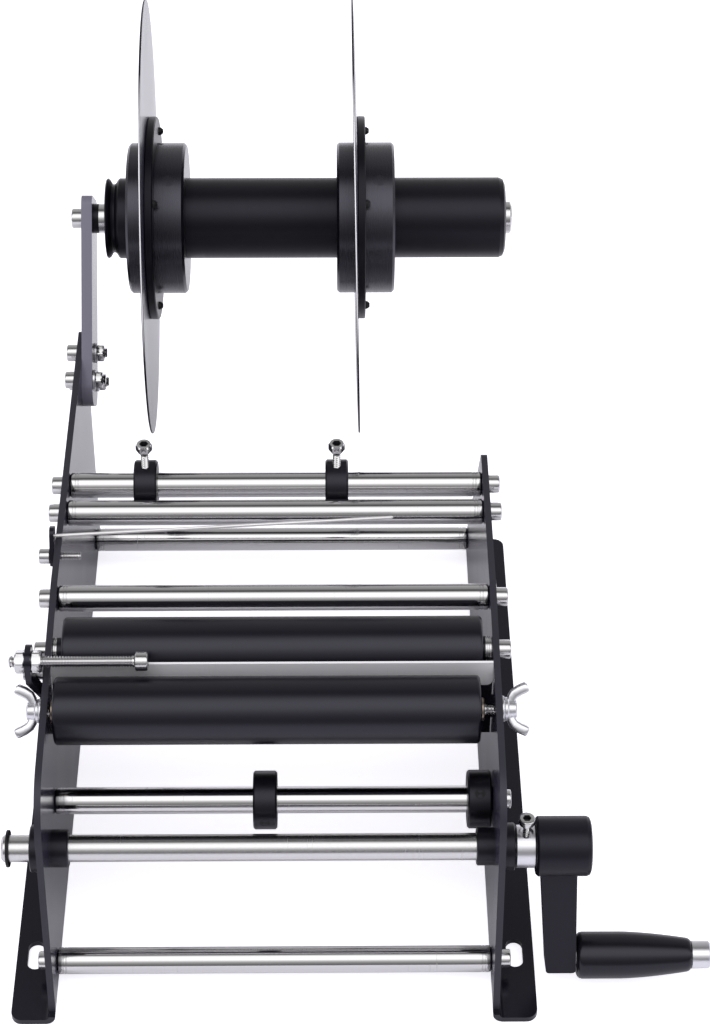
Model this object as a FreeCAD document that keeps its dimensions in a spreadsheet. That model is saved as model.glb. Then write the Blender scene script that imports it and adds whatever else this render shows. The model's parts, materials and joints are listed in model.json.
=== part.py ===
import FreeCAD, Part
import os
import re

import Sketcher

# Bench machine that wraps labels onto bottles: two bent side plates tied by
# rods, a pair of web rollers with a peel plate between them, a crank that turns
# the bottle, and a label spool carried on an arm behind the left plate.
#
# x runs across the machine from its middle plane, y from the front end of the
# feet to the rear and z up from the table. Lengths are millimetres, angles degrees.
SIZES = {
    # side plates
    "plate_thickness": 3.0,
    "plate_height": 136.5,
    "plate_foot_y": 3.3,
    "nose_y": 21.9,
    "nose_z": 120.2,
    "nose_radius": 28.0,
    "plate_level_y": 143.0,
    "left_rear_overhang": 14.5,
    "left_heel_overhang": 5.5,
    "right_rear_y": 229.6,
    "plate_corner_radius": 5.0,
    # feet
    "foot_reach": 20.1,
    "foot_length": 312.5,
    "foot_corner_radius": 5.0,
    "bend_radius": 2.0,
    "foot_slot_width": 7.5,
    "foot_slot_length": 15.9,
    "foot_slot_reach": 11.5,
    "foot_slot_inset": 36.2,
    # rods between the plates
    "rod_radius": 6.0,
    "rod_chamfer": 1.0,
    "guide_rod_y": 217.3,
    "turn_rod_y": 197.9,
    "feed_rod_y": 140.7,
    "upper_rod_z": 128.0,
    "rear_tie_inset": 15.2,
    "rear_tie_z": 17.9,
    "front_tie_y": 24.9,
    "front_tie_z": 13.4,
    "waste_rod_y": 68.4,
    "waste_rod_z": 72.2,
    # cap screws that hold the rods
    "screw_radius": 2.5,
    "screw_head_radius": 4.25,
    "screw_head_height": 5.6,
    "screw_reach": 12.0,
    "thread_gap": 0.05,
    "seat_gap": 0.04,
    "running_gap": 0.05,
    "face_gap": 0.3,
    "hole_gap": 0.25,
    # web rollers
    "upper_roller_y": 111.0,
    "upper_roller_z": 124.3,
    "lower_roller_y": 78.5,
    "lower_roller_z": 120.0,
    "roller_radius": 15.0,
    "roller_cover": 3.0,
    "roller_length": 186.0,
    "roller_bore_radius": 8.5,
    "roller_edge": 1.3,
    "axle_radius": 4.0,
    "roller_bush_length": 14.0,
    "spacer_radius": 6.0,
    "spacer_length": 4.2,
    "lower_roller_shift": 2.0,
    "lower_spacer_radius": 5.1,
    "lower_spacer_length": 1.6,
    "lower_stud_radius": 2.5,
    "lower_stud_reach": 6.6,
    "slot_travel": 6.0,
    # peel plate
    "peel_y": 94.1,
    "peel_thickness": 1.2,
    "peel_top_z": 133.0,
    "peel_bottom_z": 88.0,
    "peel_tab_z": 98.0,
    "peel_tab_height": 14.0,
    # wing nuts
    "wing_span": 23.0,
    "wing_depth": 11.5,
    "wing_thickness": 3.4,
    "wing_width": 7.0,
    "wing_lean": 42.5,
    "wing_boss_radius": 5.0,
    "wing_boss_depth": 5.4,
    "wing_boss_flange": 1.4,
    "wing_washer_radius": 5.8,
    "wing_washer_thickness": 1.2,
    # crank
    "crank_y": 41.0,
    "crank_z": 72.0,
    "crank_throw": 58.2,
    "crank_lean": 16.6,
    "shaft_radius": 6.0,
    "shaft_left_overhang": 18.4,
    "clip_radius": 8.2,
    "clip_thickness": 1.3,
    "clip_inset": 2.1,
    "bushing_radius": 8.35,
    "bushing_flange_radius": 10.5,
    "bushing_flange": 5.7,
    "bushing_reach": 8.1,
    "collar_radius": 9.5,
    "collar_width": 8.9,
    "collar_screw_head_radius": 3.6,
    "collar_screw_head_height": 4.0,
    "collar_screw_radius": 1.5,
    "collar_screw_top": 18.8,
    "collar_well_radius": 3.3,
    "collar_well_depth": 1.5,
    "hub_radius": 13.25,
    "hub_length": 24.3,
    "arm_start": 2.3,
    "arm_root_width": 16.1,
    "arm_tip_width": 13.4,
    "arm_tip_shift": 3.9,
    "arm_depth": 12.0,
    "arm_tip_reach": 5.6,
    "arm_tip_radius": 1.6,
    "hub_chamfer": 1.0,
    "hub_round": 2.0,
    "spindle_radius": 4.0,
    "spindle_head_radius": 6.25,
    "spindle_head_length": 8.5,
    "grip_length": 51.7,
    "grip_base_radius": 10.5,
    "grip_tip_radius": 7.6,
    "grip_neck_radius": 9.4,
    "grip_edge": 1.6,
    # collars on the guide rod and the waste rod
    "guide_collar_radius": 12.0,
    "guide_collar_width": 10.8,
    "guide_collar_left_x": -61.5,
    "guide_collar_right_x": 28.8,
    "thumb_head_flats": 6.9,
    "thumb_head_height": 4.0,
    "thumb_radius": 1.9,
    "thumb_height": 13.9,
    "thumb_neck": 1.8,
    "rod_collar_edge": 0.8,
    "waste_collar_radius": 13.1,
    "waste_collar_width": 10.6,
    "waste_collar_left_inset": 101.2,
    "waste_collar_right_inset": 5.8,
    "set_screw_radius": 2.5,
    # label pointer
    "pointer_y": 166.0,
    "pointer_z": 130.4,
    "pointer_wire_back": 4.6,
    "pointer_wire_rise": 8.5,
    "pointer_wire_radius": 0.75,
    "pointer_wire_length": 156.0,
    "pointer_wire_lean": 4.3,
    "lever_width": 8.6,
    "lever_tail": 4.5,
    "lever_top": 4.4,
    "lever_thickness": 2.0,
    "pointer_screw_radius": 2.0,
    "pointer_screw_head_radius": 3.5,
    "pointer_screw_head_height": 4.9,
    "pointer_screw_reach": 8.6,
    # label edge stop
    "stop_y": 90.5,
    "stop_z": 138.6,
    "stop_radius": 2.65,
    "stop_tail": 17.0,
    "stop_reach": 43.6,
    "stop_head_radius": 4.25,
    "stop_head_height": 5.5,
    "stop_nut_flats": 9.4,
    "stop_nut_height": 4.4,
    "bracket_thickness": 2.6,
    "bracket_stand_off": 4.3,
    "bracket_front_y": 85.0,
    "bracket_rear_y": 98.5,
    "bracket_top_z": 144.5,
    "bracket_corner_radius": 5.5,
    "bracket_knee_z": 131.0,
    "bracket_foot_z": 122.5,
    "bracket_heel_z": 121.0,
    "bracket_leg_width": 6.5,
    "bracket_screw_y": 95.2,
    "bracket_screw_z": 127.0,
    "bracket_screw_radius": 2.0,
    "bracket_screw_head_radius": 3.5,
    "bracket_screw_head_height": 2.2,
    "bracket_spacer_radius": 3.2,
    # spool arm
    "spool_overhang": 48.5,
    "spool_z": 179.0,
    "spool_arm_lean": 42.5,
    "spool_arm_width": 30.0,
    "spool_arm_thickness": 5.3,
    "spool_arm_top": 10.3,
    "spool_arm_bottom": 94.0,
    "spool_arm_corner": 5.0,
    "spool_arm_foot_corner": 10.0,
    "arm_upper_bolt": 67.5,
    "arm_lower_bolts": 81.5,
    "arm_bolt_side": 9.5,
    "nut_flats": 8.0,
    "nut_height": 3.5,
    "bolt_washer_radius": 5.0,
    "bolt_washer_thickness": 1.2,
    # spool
    "spool_shaft_radius": 5.0,
    "shaft_bolt_radius": 3.0,
    "shaft_bolt_head_radius": 5.0,
    "shaft_bolt_head_height": 6.0,
    "shaft_bolt_reach": 15.0,
    "spool_spacer_radius": 7.35,
    "spool_spacer_length": 6.2,
    "pulley_radius": 20.0,
    "pulley_groove_radius": 17.0,
    "pulley_length": 11.7,
    "spool_tube_radius": 20.0,
    "spool_tube_bore": 16.0,
    "spool_tube_length": 187.4,
    "spool_tube_edge": 3.0,
    "spool_bush_length": 14.0,
    "spool_hub_radius": 37.5,
    "spool_hub_length": 28.5,
    "spool_hub_edge": 1.2,
    "disc_radius": 108.0,
    "disc_thickness": 1.0,
    "disc_offset": 9.0,
    "ring_radius": 50.5,
    "ring_thickness": 4.1,
    "sliding_hub_offset": 103.4,
    "hub_hole_radius": 2.6,
    "hub_hole_offset": 21.0,
    "ring_screw_pitch_radius": 44.0,
    "ring_screw_radius": 2.1,
    "ring_screw_height": 2.2,
    "end_nut_radius": 8.0,
    "end_nut_height": 3.2,
}

# How many screws hold each disc to its ring.
RING_SCREWS = 4

# Points nearer to each other than this are one corner.
SAME_POINT = 1e-3

# Places worked out from the sizes, as formulas of the sheet.
INNER = "(roller_length / 2 + face_gap + spacer_length)"
OUTER = f"({INNER} + plate_thickness)"
HOLE = "screw_radius + hole_gap"
BEND = "(bend_radius + plate_thickness)"
COLLAR_X = f"({OUTER} + bushing_flange + face_gap)"
HUB_X = f"({COLLAR_X} + collar_width + seat_gap)"
GRIP_X = f"({HUB_X} + arm_start + arm_tip_shift + arm_tip_width + face_gap)"
RIGHT_END = f"({GRIP_X} + grip_length + face_gap + spindle_head_length)"
LEFT_END = f"(-{OUTER} - shaft_left_overhang)"
SPOOL_ARM_X = f"(-{INNER} + spool_arm_thickness)"
SPACER_END = f"({SPOOL_ARM_X} + spool_spacer_length)"
PULLEY_X = f"({SPACER_END} + face_gap)"
SPOOL_X = f"({PULLEY_X} + pulley_length)"
TUBE_END = f"({SPOOL_X} + spool_tube_length)"
SLIDING_X = f"({SPOOL_X} + sliding_hub_offset)"
SPOOL_Y = "(foot_length + spool_overhang)"
SPOOL = (SPOOL_Y, "spool_z")

# The model's origin stands on the table under the middle of the whole machine.
ORIGIN_X = f"({RIGHT_END} + {LEFT_END}) / 2"
ORIGIN_Y = f"({SPOOL_Y} + disc_radius) / 2"

ROD_LINES = {
    "guide_rod": ("guide_rod_y", "upper_rod_z"),
    "turn_rod": ("turn_rod_y", "upper_rod_z"),
    "feed_rod": ("feed_rod_y", "upper_rod_z"),
    "waste_rod": ("waste_rod_y", "waste_rod_z"),
}
TIE_LINES = {
    "front_tie": ("front_tie_y", "front_tie_z"),
    "rear_tie": ("(foot_length - rear_tie_inset)", "rear_tie_z"),
}
SCREW_LINES = [*ROD_LINES.values(), *TIE_LINES.values(), ("upper_roller_y", "upper_roller_z")]

document = FreeCAD.newDocument("bottle_labelling_machine")
sheet = document.addObject("Spreadsheet::Sheet", "Sizes")
for row, (alias, size) in enumerate(SIZES.items(), start=1):
    sheet.set(f"A{row}", alias)
    sheet.set(f"B{row}", str(size))
    sheet.setAlias(f"B{row}", alias)
document.recompute()
nodes = []
frame_screws = []
frame_washers = []
frame_nuts = []


# ---------------------------------------------------------------- helpers

def formula(text):
    """The same formula with every size named through the sheet."""
    def through_sheet(match):
        word = match.group(0)
        return f"Sizes.{word}" if word in SIZES else word
    return re.sub(r"[a-z_]+", through_sheet, str(text))


def value(text):
    """What a formula comes to now."""
    return float(sheet.evalExpression(formula(text)))


def bind(item, setting, text):
    item.setExpression(setting, formula(text))


def place(item, x, y, z, lean=None, about=(1, 0, 0)):
    """Place an item by formulas, turned about an axis by the lean."""
    if lean is not None:
        turn = FreeCAD.Rotation(FreeCAD.Vector(*about), value(lean))
        item.Placement = FreeCAD.Placement(FreeCAD.Vector(), turn)
        bind(item, "Placement.Rotation.Angle", lean)
    bind(item, "Placement.Base.x", x)
    bind(item, "Placement.Base.y", y)
    bind(item, "Placement.Base.z", z)


def node(item, x="0", y="0", z="0", lean=None, about=(1, 0, 0)):
    """Place a finished sub-part from the model's origin and list it as a node."""
    place(item, f"{x} - ({ORIGIN_X})", f"{y} - {ORIGIN_Y}", z, lean, about)
    nodes.append(item)
    return item


def new_body(label):
    body = document.addObject("PartDesign::Body", label)
    body.Label = label
    return body


def new_sketch(body, plane, lift=None):
    """An empty sketch on or above one of the body's own planes, XY, XZ or YZ."""
    sketch = body.newObject("Sketcher::SketchObject", f"{body.Label}_sketch")
    support = [item for item in body.Origin.OriginFeatures if item.Role == f"{plane}_Plane"]
    sketch.AttachmentSupport = [(support[0], "")]
    sketch.MapMode = "FlatFace"
    if lift is not None:
        bind(sketch, "AttachmentOffset.Base.z", lift)
    return sketch


def fix_point(sketch, element, point, across, up):
    """Hold one point of a sketch by two driving distances from its origin."""
    for kind, text in (("DistanceX", across), ("DistanceY", up)):
        number = sketch.addConstraint(Sketcher.Constraint(kind, -1, 1, element, point, value(text)))
        bind(sketch, f"Constraints[{number}]", text)


def draw_outline(sketch, corners):
    """A closed outline of straight lines through corners given as pairs of formulas."""
    points = [FreeCAD.Vector(value(across), value(up), 0) for across, up in corners]
    first = sketch.GeometryCount
    count = len(corners)
    for index in range(count):
        sketch.addGeometry(Part.LineSegment(points[index], points[(index + 1) % count]), False)
    for index in range(count):
        following = first + (index + 1) % count
        sketch.addConstraint(Sketcher.Constraint("Coincident", first + index, 2, following, 1))
    for index, (across, up) in enumerate(corners):
        fix_point(sketch, first + index, 1, across, up)


def draw_circle(sketch, across, up, radius):
    centre = FreeCAD.Vector(value(across), value(up), 0)
    element = sketch.addGeometry(Part.Circle(centre, FreeCAD.Vector(0, 0, 1), value(radius)), False)
    fix_point(sketch, element, 3, across, up)
    number = sketch.addConstraint(Sketcher.Constraint("Radius", element, value(radius)))
    bind(sketch, f"Constraints[{number}]", radius)


def draw_rectangle(sketch, left, bottom, right, top):
    draw_outline(sketch, [(left, bottom), (right, bottom), (right, top), (left, top)])


def draw_slot(sketch, across, up, length, width, upright):
    """A round-ended slot between the outlines of its two end circles."""
    straight = f"(({length}) - ({width})) / 2"
    half = f"({width}) / 2"
    if upright:
        draw_rectangle(sketch, f"{across} - {half}", f"{up} - {straight}",
                       f"{across} + {half}", f"{up} + {straight}")
        return [(across, f"{up} - {straight}"), (across, f"{up} + {straight}")]
    draw_rectangle(sketch, f"{across} - {straight}", f"{up} - {half}",
                   f"{across} + {straight}", f"{up} + {half}")
    return [(f"{across} - {straight}", up), (f"{across} + {straight}", up)]


def pad(body, sketch, length, reverse=False, centred=False):
    feature = body.newObject("PartDesign::Pad", f"{body.Label}_pad")
    feature.Profile = sketch
    bind(feature, "Length", length)
    feature.Reversed = reverse
    feature.Midplane = centred
    document.recompute()
    return feature


def cut(body, sketch, depth=None, reverse=False):
    """Cut a sketch out of the body: to a depth on one side, or right through both ways."""
    before = body.Shape.Volume
    feature = body.newObject("PartDesign::Pocket", f"{body.Label}_cut")
    feature.Profile = sketch
    if depth is None:
        feature.Type = "ThroughAll"
        feature.Midplane = True
    else:
        bind(feature, "Length", depth)
        feature.Reversed = reverse
    document.recompute()
    if not body.Shape.Volume < before:
        raise RuntimeError(f"{feature.Label} cuts nothing")
    return feature


def cut_slots(body, plane, slots, upright):
    """Cut round-ended slots right through: the straight middles, then the round ends."""
    middles = new_sketch(body, plane)
    ends = []
    for across, up, length, width in slots:
        for centre in draw_slot(middles, across, up, length, width, upright):
            ends.append((centre, width))
    cut(body, middles)
    for first in (0, 1):
        rounds = new_sketch(body, plane)
        for (across, up), width in ends[first::2]:
            draw_circle(rounds, across, up, f"({width}) / 2")
        cut(body, rounds)


def cut_holes(body, plane, holes, depth=None, reverse=False):
    """Cut round holes, each given as centre formulas and a radius."""
    sketch = new_sketch(body, plane)
    for across, up, radius in holes:
        draw_circle(sketch, across, up, radius)
    cut(body, sketch, depth, reverse)


def edges_at(shape, corners, axis):
    """Names of the edges that run along an axis through corners in the other two."""
    others = [index for index in range(3) if index != axis]
    names = []
    for number, edge in enumerate(shape.Edges, start=1):
        ends = [tuple(vertex.Point) for vertex in edge.Vertexes]
        if len(ends) != 2 or abs(ends[0][axis] - ends[1][axis]) < SAME_POINT:
            continue
        for corner in corners:
            spot = (value(corner[0]), value(corner[1]))
            gaps = [abs(end[others[0]] - spot[0]) + abs(end[others[1]] - spot[1]) for end in ends]
            if max(gaps) < SAME_POINT:
                names.append(f"Edge{number}")
    return names


def round_off(body, base, corners, axis, radius):
    """Round the edges that pass through the corners along an axis, 0 for x, 1 for y, 2 for z."""
    names = edges_at(base.Shape, corners, axis)
    if not names:
        raise RuntimeError(f"{body.Label} has no edge to round at {corners}")
    feature = body.newObject("PartDesign::Fillet", f"{body.Label}_round")
    feature.Base = (base, names)
    bind(feature, "Radius", radius)
    document.recompute()
    return feature


def turned(label, outline):
    """A piece turned about x, from an outline of distances along and out from the axis."""
    body = new_body(label)
    sketch = new_sketch(body, "XY")
    draw_outline(sketch, outline)
    feature = body.newObject("PartDesign::Revolution", f"{label}_turning")
    feature.Profile = sketch
    feature.ReferenceAxis = (sketch, ["H_Axis"])
    feature.Angle = 360
    document.recompute()
    return body


def tube_outline(length, radius, bore, edge="0.4"):
    """Outline of a plain tube from x = 0 with its outer edges broken."""
    return [("0", bore), ("0", f"{radius} - {edge}"), (edge, radius), (f"{length} - {edge}", radius),
            (length, f"{radius} - {edge}"), (length, bore)]


def screw_outline(head_radius, head_height, radius, reach):
    """Outline of a screw whose head ends at x = 0 and whose shank runs to x = reach."""
    return [(f"-{head_height}", "0"), (f"-{head_height}", f"{head_radius} - 0.4"),
            (f"0.4 - {head_height}", head_radius), ("0", head_radius), ("0", radius),
            (f"{reach} - 0.5", radius), (reach, f"{radius} - 0.5"), (reach, "0")]


def group(label, pieces):
    """Like pieces that share one node, each still a solid of its own."""
    compound = document.addObject("Part::Compound", label)
    compound.Label = label
    compound.Links = pieces
    document.recompute()
    return node(compound)


def hexagon_corners(flats):
    half = f"({flats}) / 2"
    point = f"({flats}) / sqrt(3)"
    return [("0", f"-{point}"), (half, f"-{point} / 2"), (half, f"{point} / 2"),
            ("0", point), (f"-{half}", f"{point} / 2"), (f"-{half}", f"-{point} / 2")]


def hexagon(label, flats, bore, height):
    """A hexagon nut along x with its bore."""
    body = new_body(label)
    sketch = new_sketch(body, "YZ")
    draw_outline(sketch, hexagon_corners(flats))
    pad(body, sketch, height)
    cut_holes(body, "YZ", [("0", "0", bore)])
    return body


# ---------------------------------------------------------------- frame

def arm_point(down, side):
    """Where a point of the spool arm lies, from its distances down and across the arm."""
    y = f"{SPOOL_Y} - ({down}) * sin(spool_arm_lean) + ({side}) * cos(spool_arm_lean)"
    z = f"spool_z - ({down}) * cos(spool_arm_lean) - ({side}) * sin(spool_arm_lean)"
    return (y, z)


ARM_BOLTS = [arm_point("arm_upper_bolt", "0"), arm_point("arm_lower_bolts", "-arm_bolt_side"),
             arm_point("arm_lower_bolts", "arm_bolt_side")]


def side_plate(label, side, upper_corners, rear_corners, extra_holes):
    """A plate with its lower edge bent outward into a foot; side is -1 for left, 1 for right."""
    body = new_body(label)
    web = new_sketch(body, "YZ")
    front = [("plate_foot_y", BEND), ("nose_y", "nose_z"), ("plate_level_y", "plate_height")]
    draw_outline(web, front + upper_corners + rear_corners)
    plate = pad(body, web, "plate_thickness", reverse=side < 0)
    plate = round_off(body, plate, [("nose_y", "nose_z")], 0, "nose_radius")
    plate = round_off(body, plate, upper_corners, 0, "plate_corner_radius")

    foot = new_sketch(body, "XZ")
    reach = f"{side} * foot_reach"
    face = f"{side} * plate_thickness"
    draw_outline(foot, [("0", BEND), ("0", "0"), (reach, "0"), (reach, "plate_thickness"),
                        (face, "plate_thickness"), (face, BEND)])
    flange = pad(body, foot, "foot_length", reverse=True)
    flange = round_off(body, flange, [("0", "0")], 1, BEND)
    flange = round_off(body, flange, [(face, "plate_thickness")], 1, "bend_radius")
    round_off(body, flange, [(reach, "0"), (reach, "foot_length")], 2, "foot_corner_radius")

    slot_x = f"{side} * foot_slot_reach"
    cut_slots(body, "XY", [(slot_x, y, "foot_slot_length", "foot_slot_width")
                           for y in ("foot_slot_inset", "(foot_length - foot_slot_inset)")], True)
    holes = [(y, z, HOLE) for y, z in SCREW_LINES]
    holes.append(("crank_y", "crank_z", "bushing_radius + seat_gap"))
    cut_holes(body, "YZ", holes + extra_holes)
    cut_slots(body, "YZ", [("lower_roller_y - slot_travel / 2", "lower_roller_z",
                            f"slot_travel + 2 * ({HOLE})", f"2 * ({HOLE})")], False)
    tab = new_sketch(body, "YZ")
    draw_rectangle(tab, "peel_y - hole_gap", "peel_tab_z - hole_gap",
                   "peel_y + peel_thickness + hole_gap", "peel_tab_z + peel_tab_height + hole_gap")
    cut(body, tab)
    return node(body, f"{side} * {INNER}")


def make_side_plates():
    left_holes = [(y, z, HOLE) for y, z in ARM_BOLTS]
    left_holes.append(("pointer_y", "pointer_z", "pointer_screw_radius + thread_gap"))
    left_holes.append(("bracket_screw_y", "bracket_screw_z", "bracket_screw_radius + thread_gap"))
    side_plate("left_side_plate", -1, [("foot_length + left_rear_overhang", "plate_height")],
               [("foot_length + left_heel_overhang", BEND)], left_holes)
    side_plate("right_side_plate", 1, [("right_rear_y", "plate_height")],
               [("foot_length", BEND)], [])


def make_rods():
    """Plain rods with a tapped hole in each end, held between the plates."""
    half = INNER
    bore = "screw_radius + thread_gap"
    depth = "(screw_reach + 2)"
    outline = [(f"-{half}", bore), (f"-{half}", "rod_radius - rod_chamfer"),
               (f"-{half} + rod_chamfer", "rod_radius"), (f"{half} - rod_chamfer", "rod_radius"),
               (half, "rod_radius - rod_chamfer"), (half, bore), (f"{half} - {depth}", bore),
               (f"{half} - {depth}", "0"), (f"-{half} + {depth}", "0"), (f"-{half} + {depth}", bore)]
    for label, (y, z) in ROD_LINES.items():
        node(turned(label, outline), "0", y, z)
    ties = []
    for label, (y, z) in TIE_LINES.items():
        tie = turned(label, outline)
        place(tie, "0", y, z)
        ties.append(tie)
    group("tie_rods", ties)


def make_rod_screws():
    """A cap screw at both ends of every rod and of the upper axle."""
    outline = screw_outline("screw_head_radius", "screw_head_height", "screw_radius",
                            "plate_thickness + screw_reach")
    for side, name, turn in ((-1, "left", "0"), (1, "right", "180")):
        for number, (y, z) in enumerate(SCREW_LINES):
            screw = turned(f"{name}_screw_{number}", outline)
            place(screw, f"{side} * {OUTER}", y, z, turn, (0, 0, 1))
            frame_screws.append(screw)


def make_peel_plate():
    """A thin plate on edge between the rollers, with a tab at each end in the side plates."""
    body = new_body("peel_plate")
    sketch = new_sketch(body, "XZ")
    half = f"({INNER} - face_gap)"
    tip = f"({OUTER} - 0.2)"
    tab_top = "peel_tab_z + peel_tab_height"
    draw_outline(sketch, [
        (f"-{half}", "peel_bottom_z"), (half, "peel_bottom_z"), (half, "peel_tab_z"), (tip, "peel_tab_z"),
        (tip, tab_top), (half, tab_top), (half, "peel_top_z"), (f"-{half}", "peel_top_z"),
        (f"-{half}", tab_top), (f"-{tip}", tab_top), (f"-{tip}", "peel_tab_z"), (f"-{half}", "peel_tab_z")])
    pad(body, sketch, "peel_thickness", reverse=True)
    node(body, "0", "peel_y", "0")


# ---------------------------------------------------------------- web rollers

def make_roller(name, shift, y, z):
    """A rubber-covered tube on two plain bushes, turning on its axle."""
    half = "roller_length / 2"
    start = f"-{half} - {shift}"
    core = "(roller_radius - roller_cover)"
    cover = turned(f"{name}_roller_cover",
                   tube_outline("roller_length", "roller_radius", core, "roller_edge"))
    node(cover, start, y, z)
    inner = turned(f"{name}_roller_core",
                   tube_outline("roller_length", f"{core} - seat_gap", "roller_bore_radius"))
    node(inner, start, y, z)
    bushes = []
    for end, x in (("left", start), ("right", f"{half} - {shift} - roller_bush_length")):
        bush = turned(f"{name}_{end}_bush", tube_outline(
            "roller_bush_length", "roller_bore_radius - seat_gap", "axle_radius + running_gap"))
        place(bush, x, y, z)
        bushes.append(bush)
    group(f"{name}_roller_bushes", bushes)


def make_roller_spacers(name, shift, length, radius, y, z):
    """The ring at each end of a roller that holds it in place along its axle."""
    half = "(roller_length / 2 + face_gap)"
    spacers = []
    for end, x in (("left", f"-{half} - {shift} - {length}"), ("right", f"{half} - {shift}")):
        spacer = turned(f"{name}_{end}_spacer", tube_outline(length, radius, "axle_radius + seat_gap"))
        place(spacer, x, y, z)
        spacers.append(spacer)
    group(f"{name}_roller_spacers", spacers)


def make_upper_axle():
    bore = "screw_radius + thread_gap"
    depth = "(screw_reach + 2)"
    outline = [(f"-{INNER}", bore), (f"-{INNER}", "axle_radius"), (INNER, "axle_radius"), (INNER, bore),
               (f"{INNER} - {depth}", bore), (f"{INNER} - {depth}", "0"),
               (f"-{INNER} + {depth}", "0"), (f"-{INNER} + {depth}", bore)]
    node(turned("upper_roller_axle", outline), "0", "upper_roller_y", "upper_roller_z")


def make_lower_axle():
    """An axle with a threaded stud at each end, which slides in the plates' slots."""
    stud = f"({OUTER} + lower_stud_reach)"
    shoulder = "(roller_length / 2 + face_gap + lower_spacer_length)"
    left = f"(-{shoulder} - lower_roller_shift)"
    right = f"({shoulder} - lower_roller_shift)"
    outline = [(f"-{stud}", "0"), (f"-{stud}", "lower_stud_radius - 0.4"),
               (f"-{stud} + 0.4", "lower_stud_radius"), (left, "lower_stud_radius"),
               (left, "axle_radius"), (right, "axle_radius"), (right, "lower_stud_radius"),
               (f"{stud} - 0.4", "lower_stud_radius"), (stud, "lower_stud_radius - 0.4"), (stud, "0")]
    node(turned("lower_roller_axle", outline), "0", "lower_roller_y", "lower_roller_z")


def make_wing_nuts():
    """A wing nut and its washer clamp each stud of the lower axle."""
    bore = "lower_stud_radius + thread_gap"
    flange = "(wing_boss_radius + 0.3)"
    root = "(wing_boss_radius - 1.2)"
    tip = "wing_span / 2"
    washers = []
    for side, name, turn in ((-1, "left", "180"), (1, "right", "0")):
        washer = turned(f"{name}_washer", tube_outline(
            "wing_washer_thickness", "wing_washer_radius", bore, "0.3"))
        place(washer, f"{side} * {OUTER}", "lower_roller_y", "lower_roller_z", turn, (0, 0, 1))
        washers.append(washer)
        nut = turned(f"{name}_wing_nut", [
            ("0", bore), ("0", flange), (f"{side} * wing_boss_flange", flange),
            (f"{side} * wing_boss_depth", "wing_boss_radius - 0.8"), (f"{side} * wing_boss_depth", bore)])
        wings = new_sketch(nut, "XZ")
        for up in (1, -1):
            draw_outline(wings, [(f"{side} * ({along})", f"{up} * ({out})") for along, out in (
                ("wing_boss_flange", root), ("wing_boss_flange + 0.4", f"{root} + wing_thickness * 0.7"),
                ("wing_boss_depth * 0.8", f"{root} + wing_thickness * 1.5"), ("wing_depth - 1.8", tip),
                ("wing_depth", f"{tip} - wing_thickness * 0.75"),
                ("wing_boss_depth * 1.25", f"{root} + wing_thickness * 0.55"), ("wing_boss_depth", root))])
        pad(nut, wings, "wing_width", centred=True)
        start = f"{side} * ({OUTER} + wing_washer_thickness + seat_gap)"
        node(nut, start, "lower_roller_y", "lower_roller_z", "-wing_lean")
    group("wing_nut_washers", washers)


# ---------------------------------------------------------------- crank

def make_crank_shaft():
    end = f"({HUB_X} + hub_length - 1)"
    outline = [(LEFT_END, "0"), (LEFT_END, "shaft_radius - rod_chamfer"),
               (f"{LEFT_END} + rod_chamfer", "shaft_radius"), (end, "shaft_radius"), (end, "0")]
    node(turned("crank_shaft", outline), "0", "crank_y", "crank_z")
    clip = tube_outline("clip_thickness", "clip_radius", "shaft_radius + seat_gap", "0.2")
    node(turned("shaft_retaining_ring", clip), f"{LEFT_END} + clip_inset", "crank_y", "crank_z")


def make_crank_bushings():
    """A flanged bushing in each side plate, with its flange outside."""
    bore = "shaft_radius + running_gap"
    inside = "(plate_thickness + bushing_reach)"
    outline = [("0", bore), ("0", "bushing_flange_radius - 0.5"), ("0.5", "bushing_flange_radius"),
               ("bushing_flange", "bushing_flange_radius"), ("bushing_flange", "bushing_radius"),
               (f"bushing_flange + {inside} - 0.5", "bushing_radius"),
               (f"bushing_flange + {inside}", "bushing_radius - 0.5"), (f"bushing_flange + {inside}", bore)]
    bushings = []
    for side, name, turn in ((-1, "left", "0"), (1, "right", "180")):
        bushing = turned(f"{name}_shaft_bushing", outline)
        place(bushing, f"{side} * ({OUTER} + bushing_flange)", "crank_y", "crank_z", turn, (0, 0, 1))
        bushings.append(bushing)
    group("shaft_bushings", bushings)


def make_shaft_collar():
    """A set collar beside the bushing, with its screw standing upright in a well in the rim."""
    middle = "collar_width / 2"
    collar = turned("set_collar", tube_outline(
        "collar_width", "collar_radius", "shaft_radius + seat_gap", "0.5"))
    well = new_sketch(collar, "XY", "collar_radius - collar_well_depth")
    draw_circle(well, middle, "0", "collar_well_radius")
    cut(collar, well, "collar_well_depth + 1", True)
    cut_holes(collar, "XY", [(middle, "0", "collar_screw_radius + thread_gap")], "collar_radius + 1", True)
    place(collar, COLLAR_X, "crank_y", "crank_z")
    head = "(collar_screw_top - collar_screw_head_height)"
    screw = turned("collar_screw", screw_outline(
        "collar_screw_head_radius", "collar_screw_head_height", "collar_screw_radius",
        f"{head} - shaft_radius - face_gap"))
    place(screw, f"{COLLAR_X} + {middle}", "crank_y", f"crank_z + {head}", "90", (0, 1, 0))
    group("shaft_collar", [collar, screw])


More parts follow.
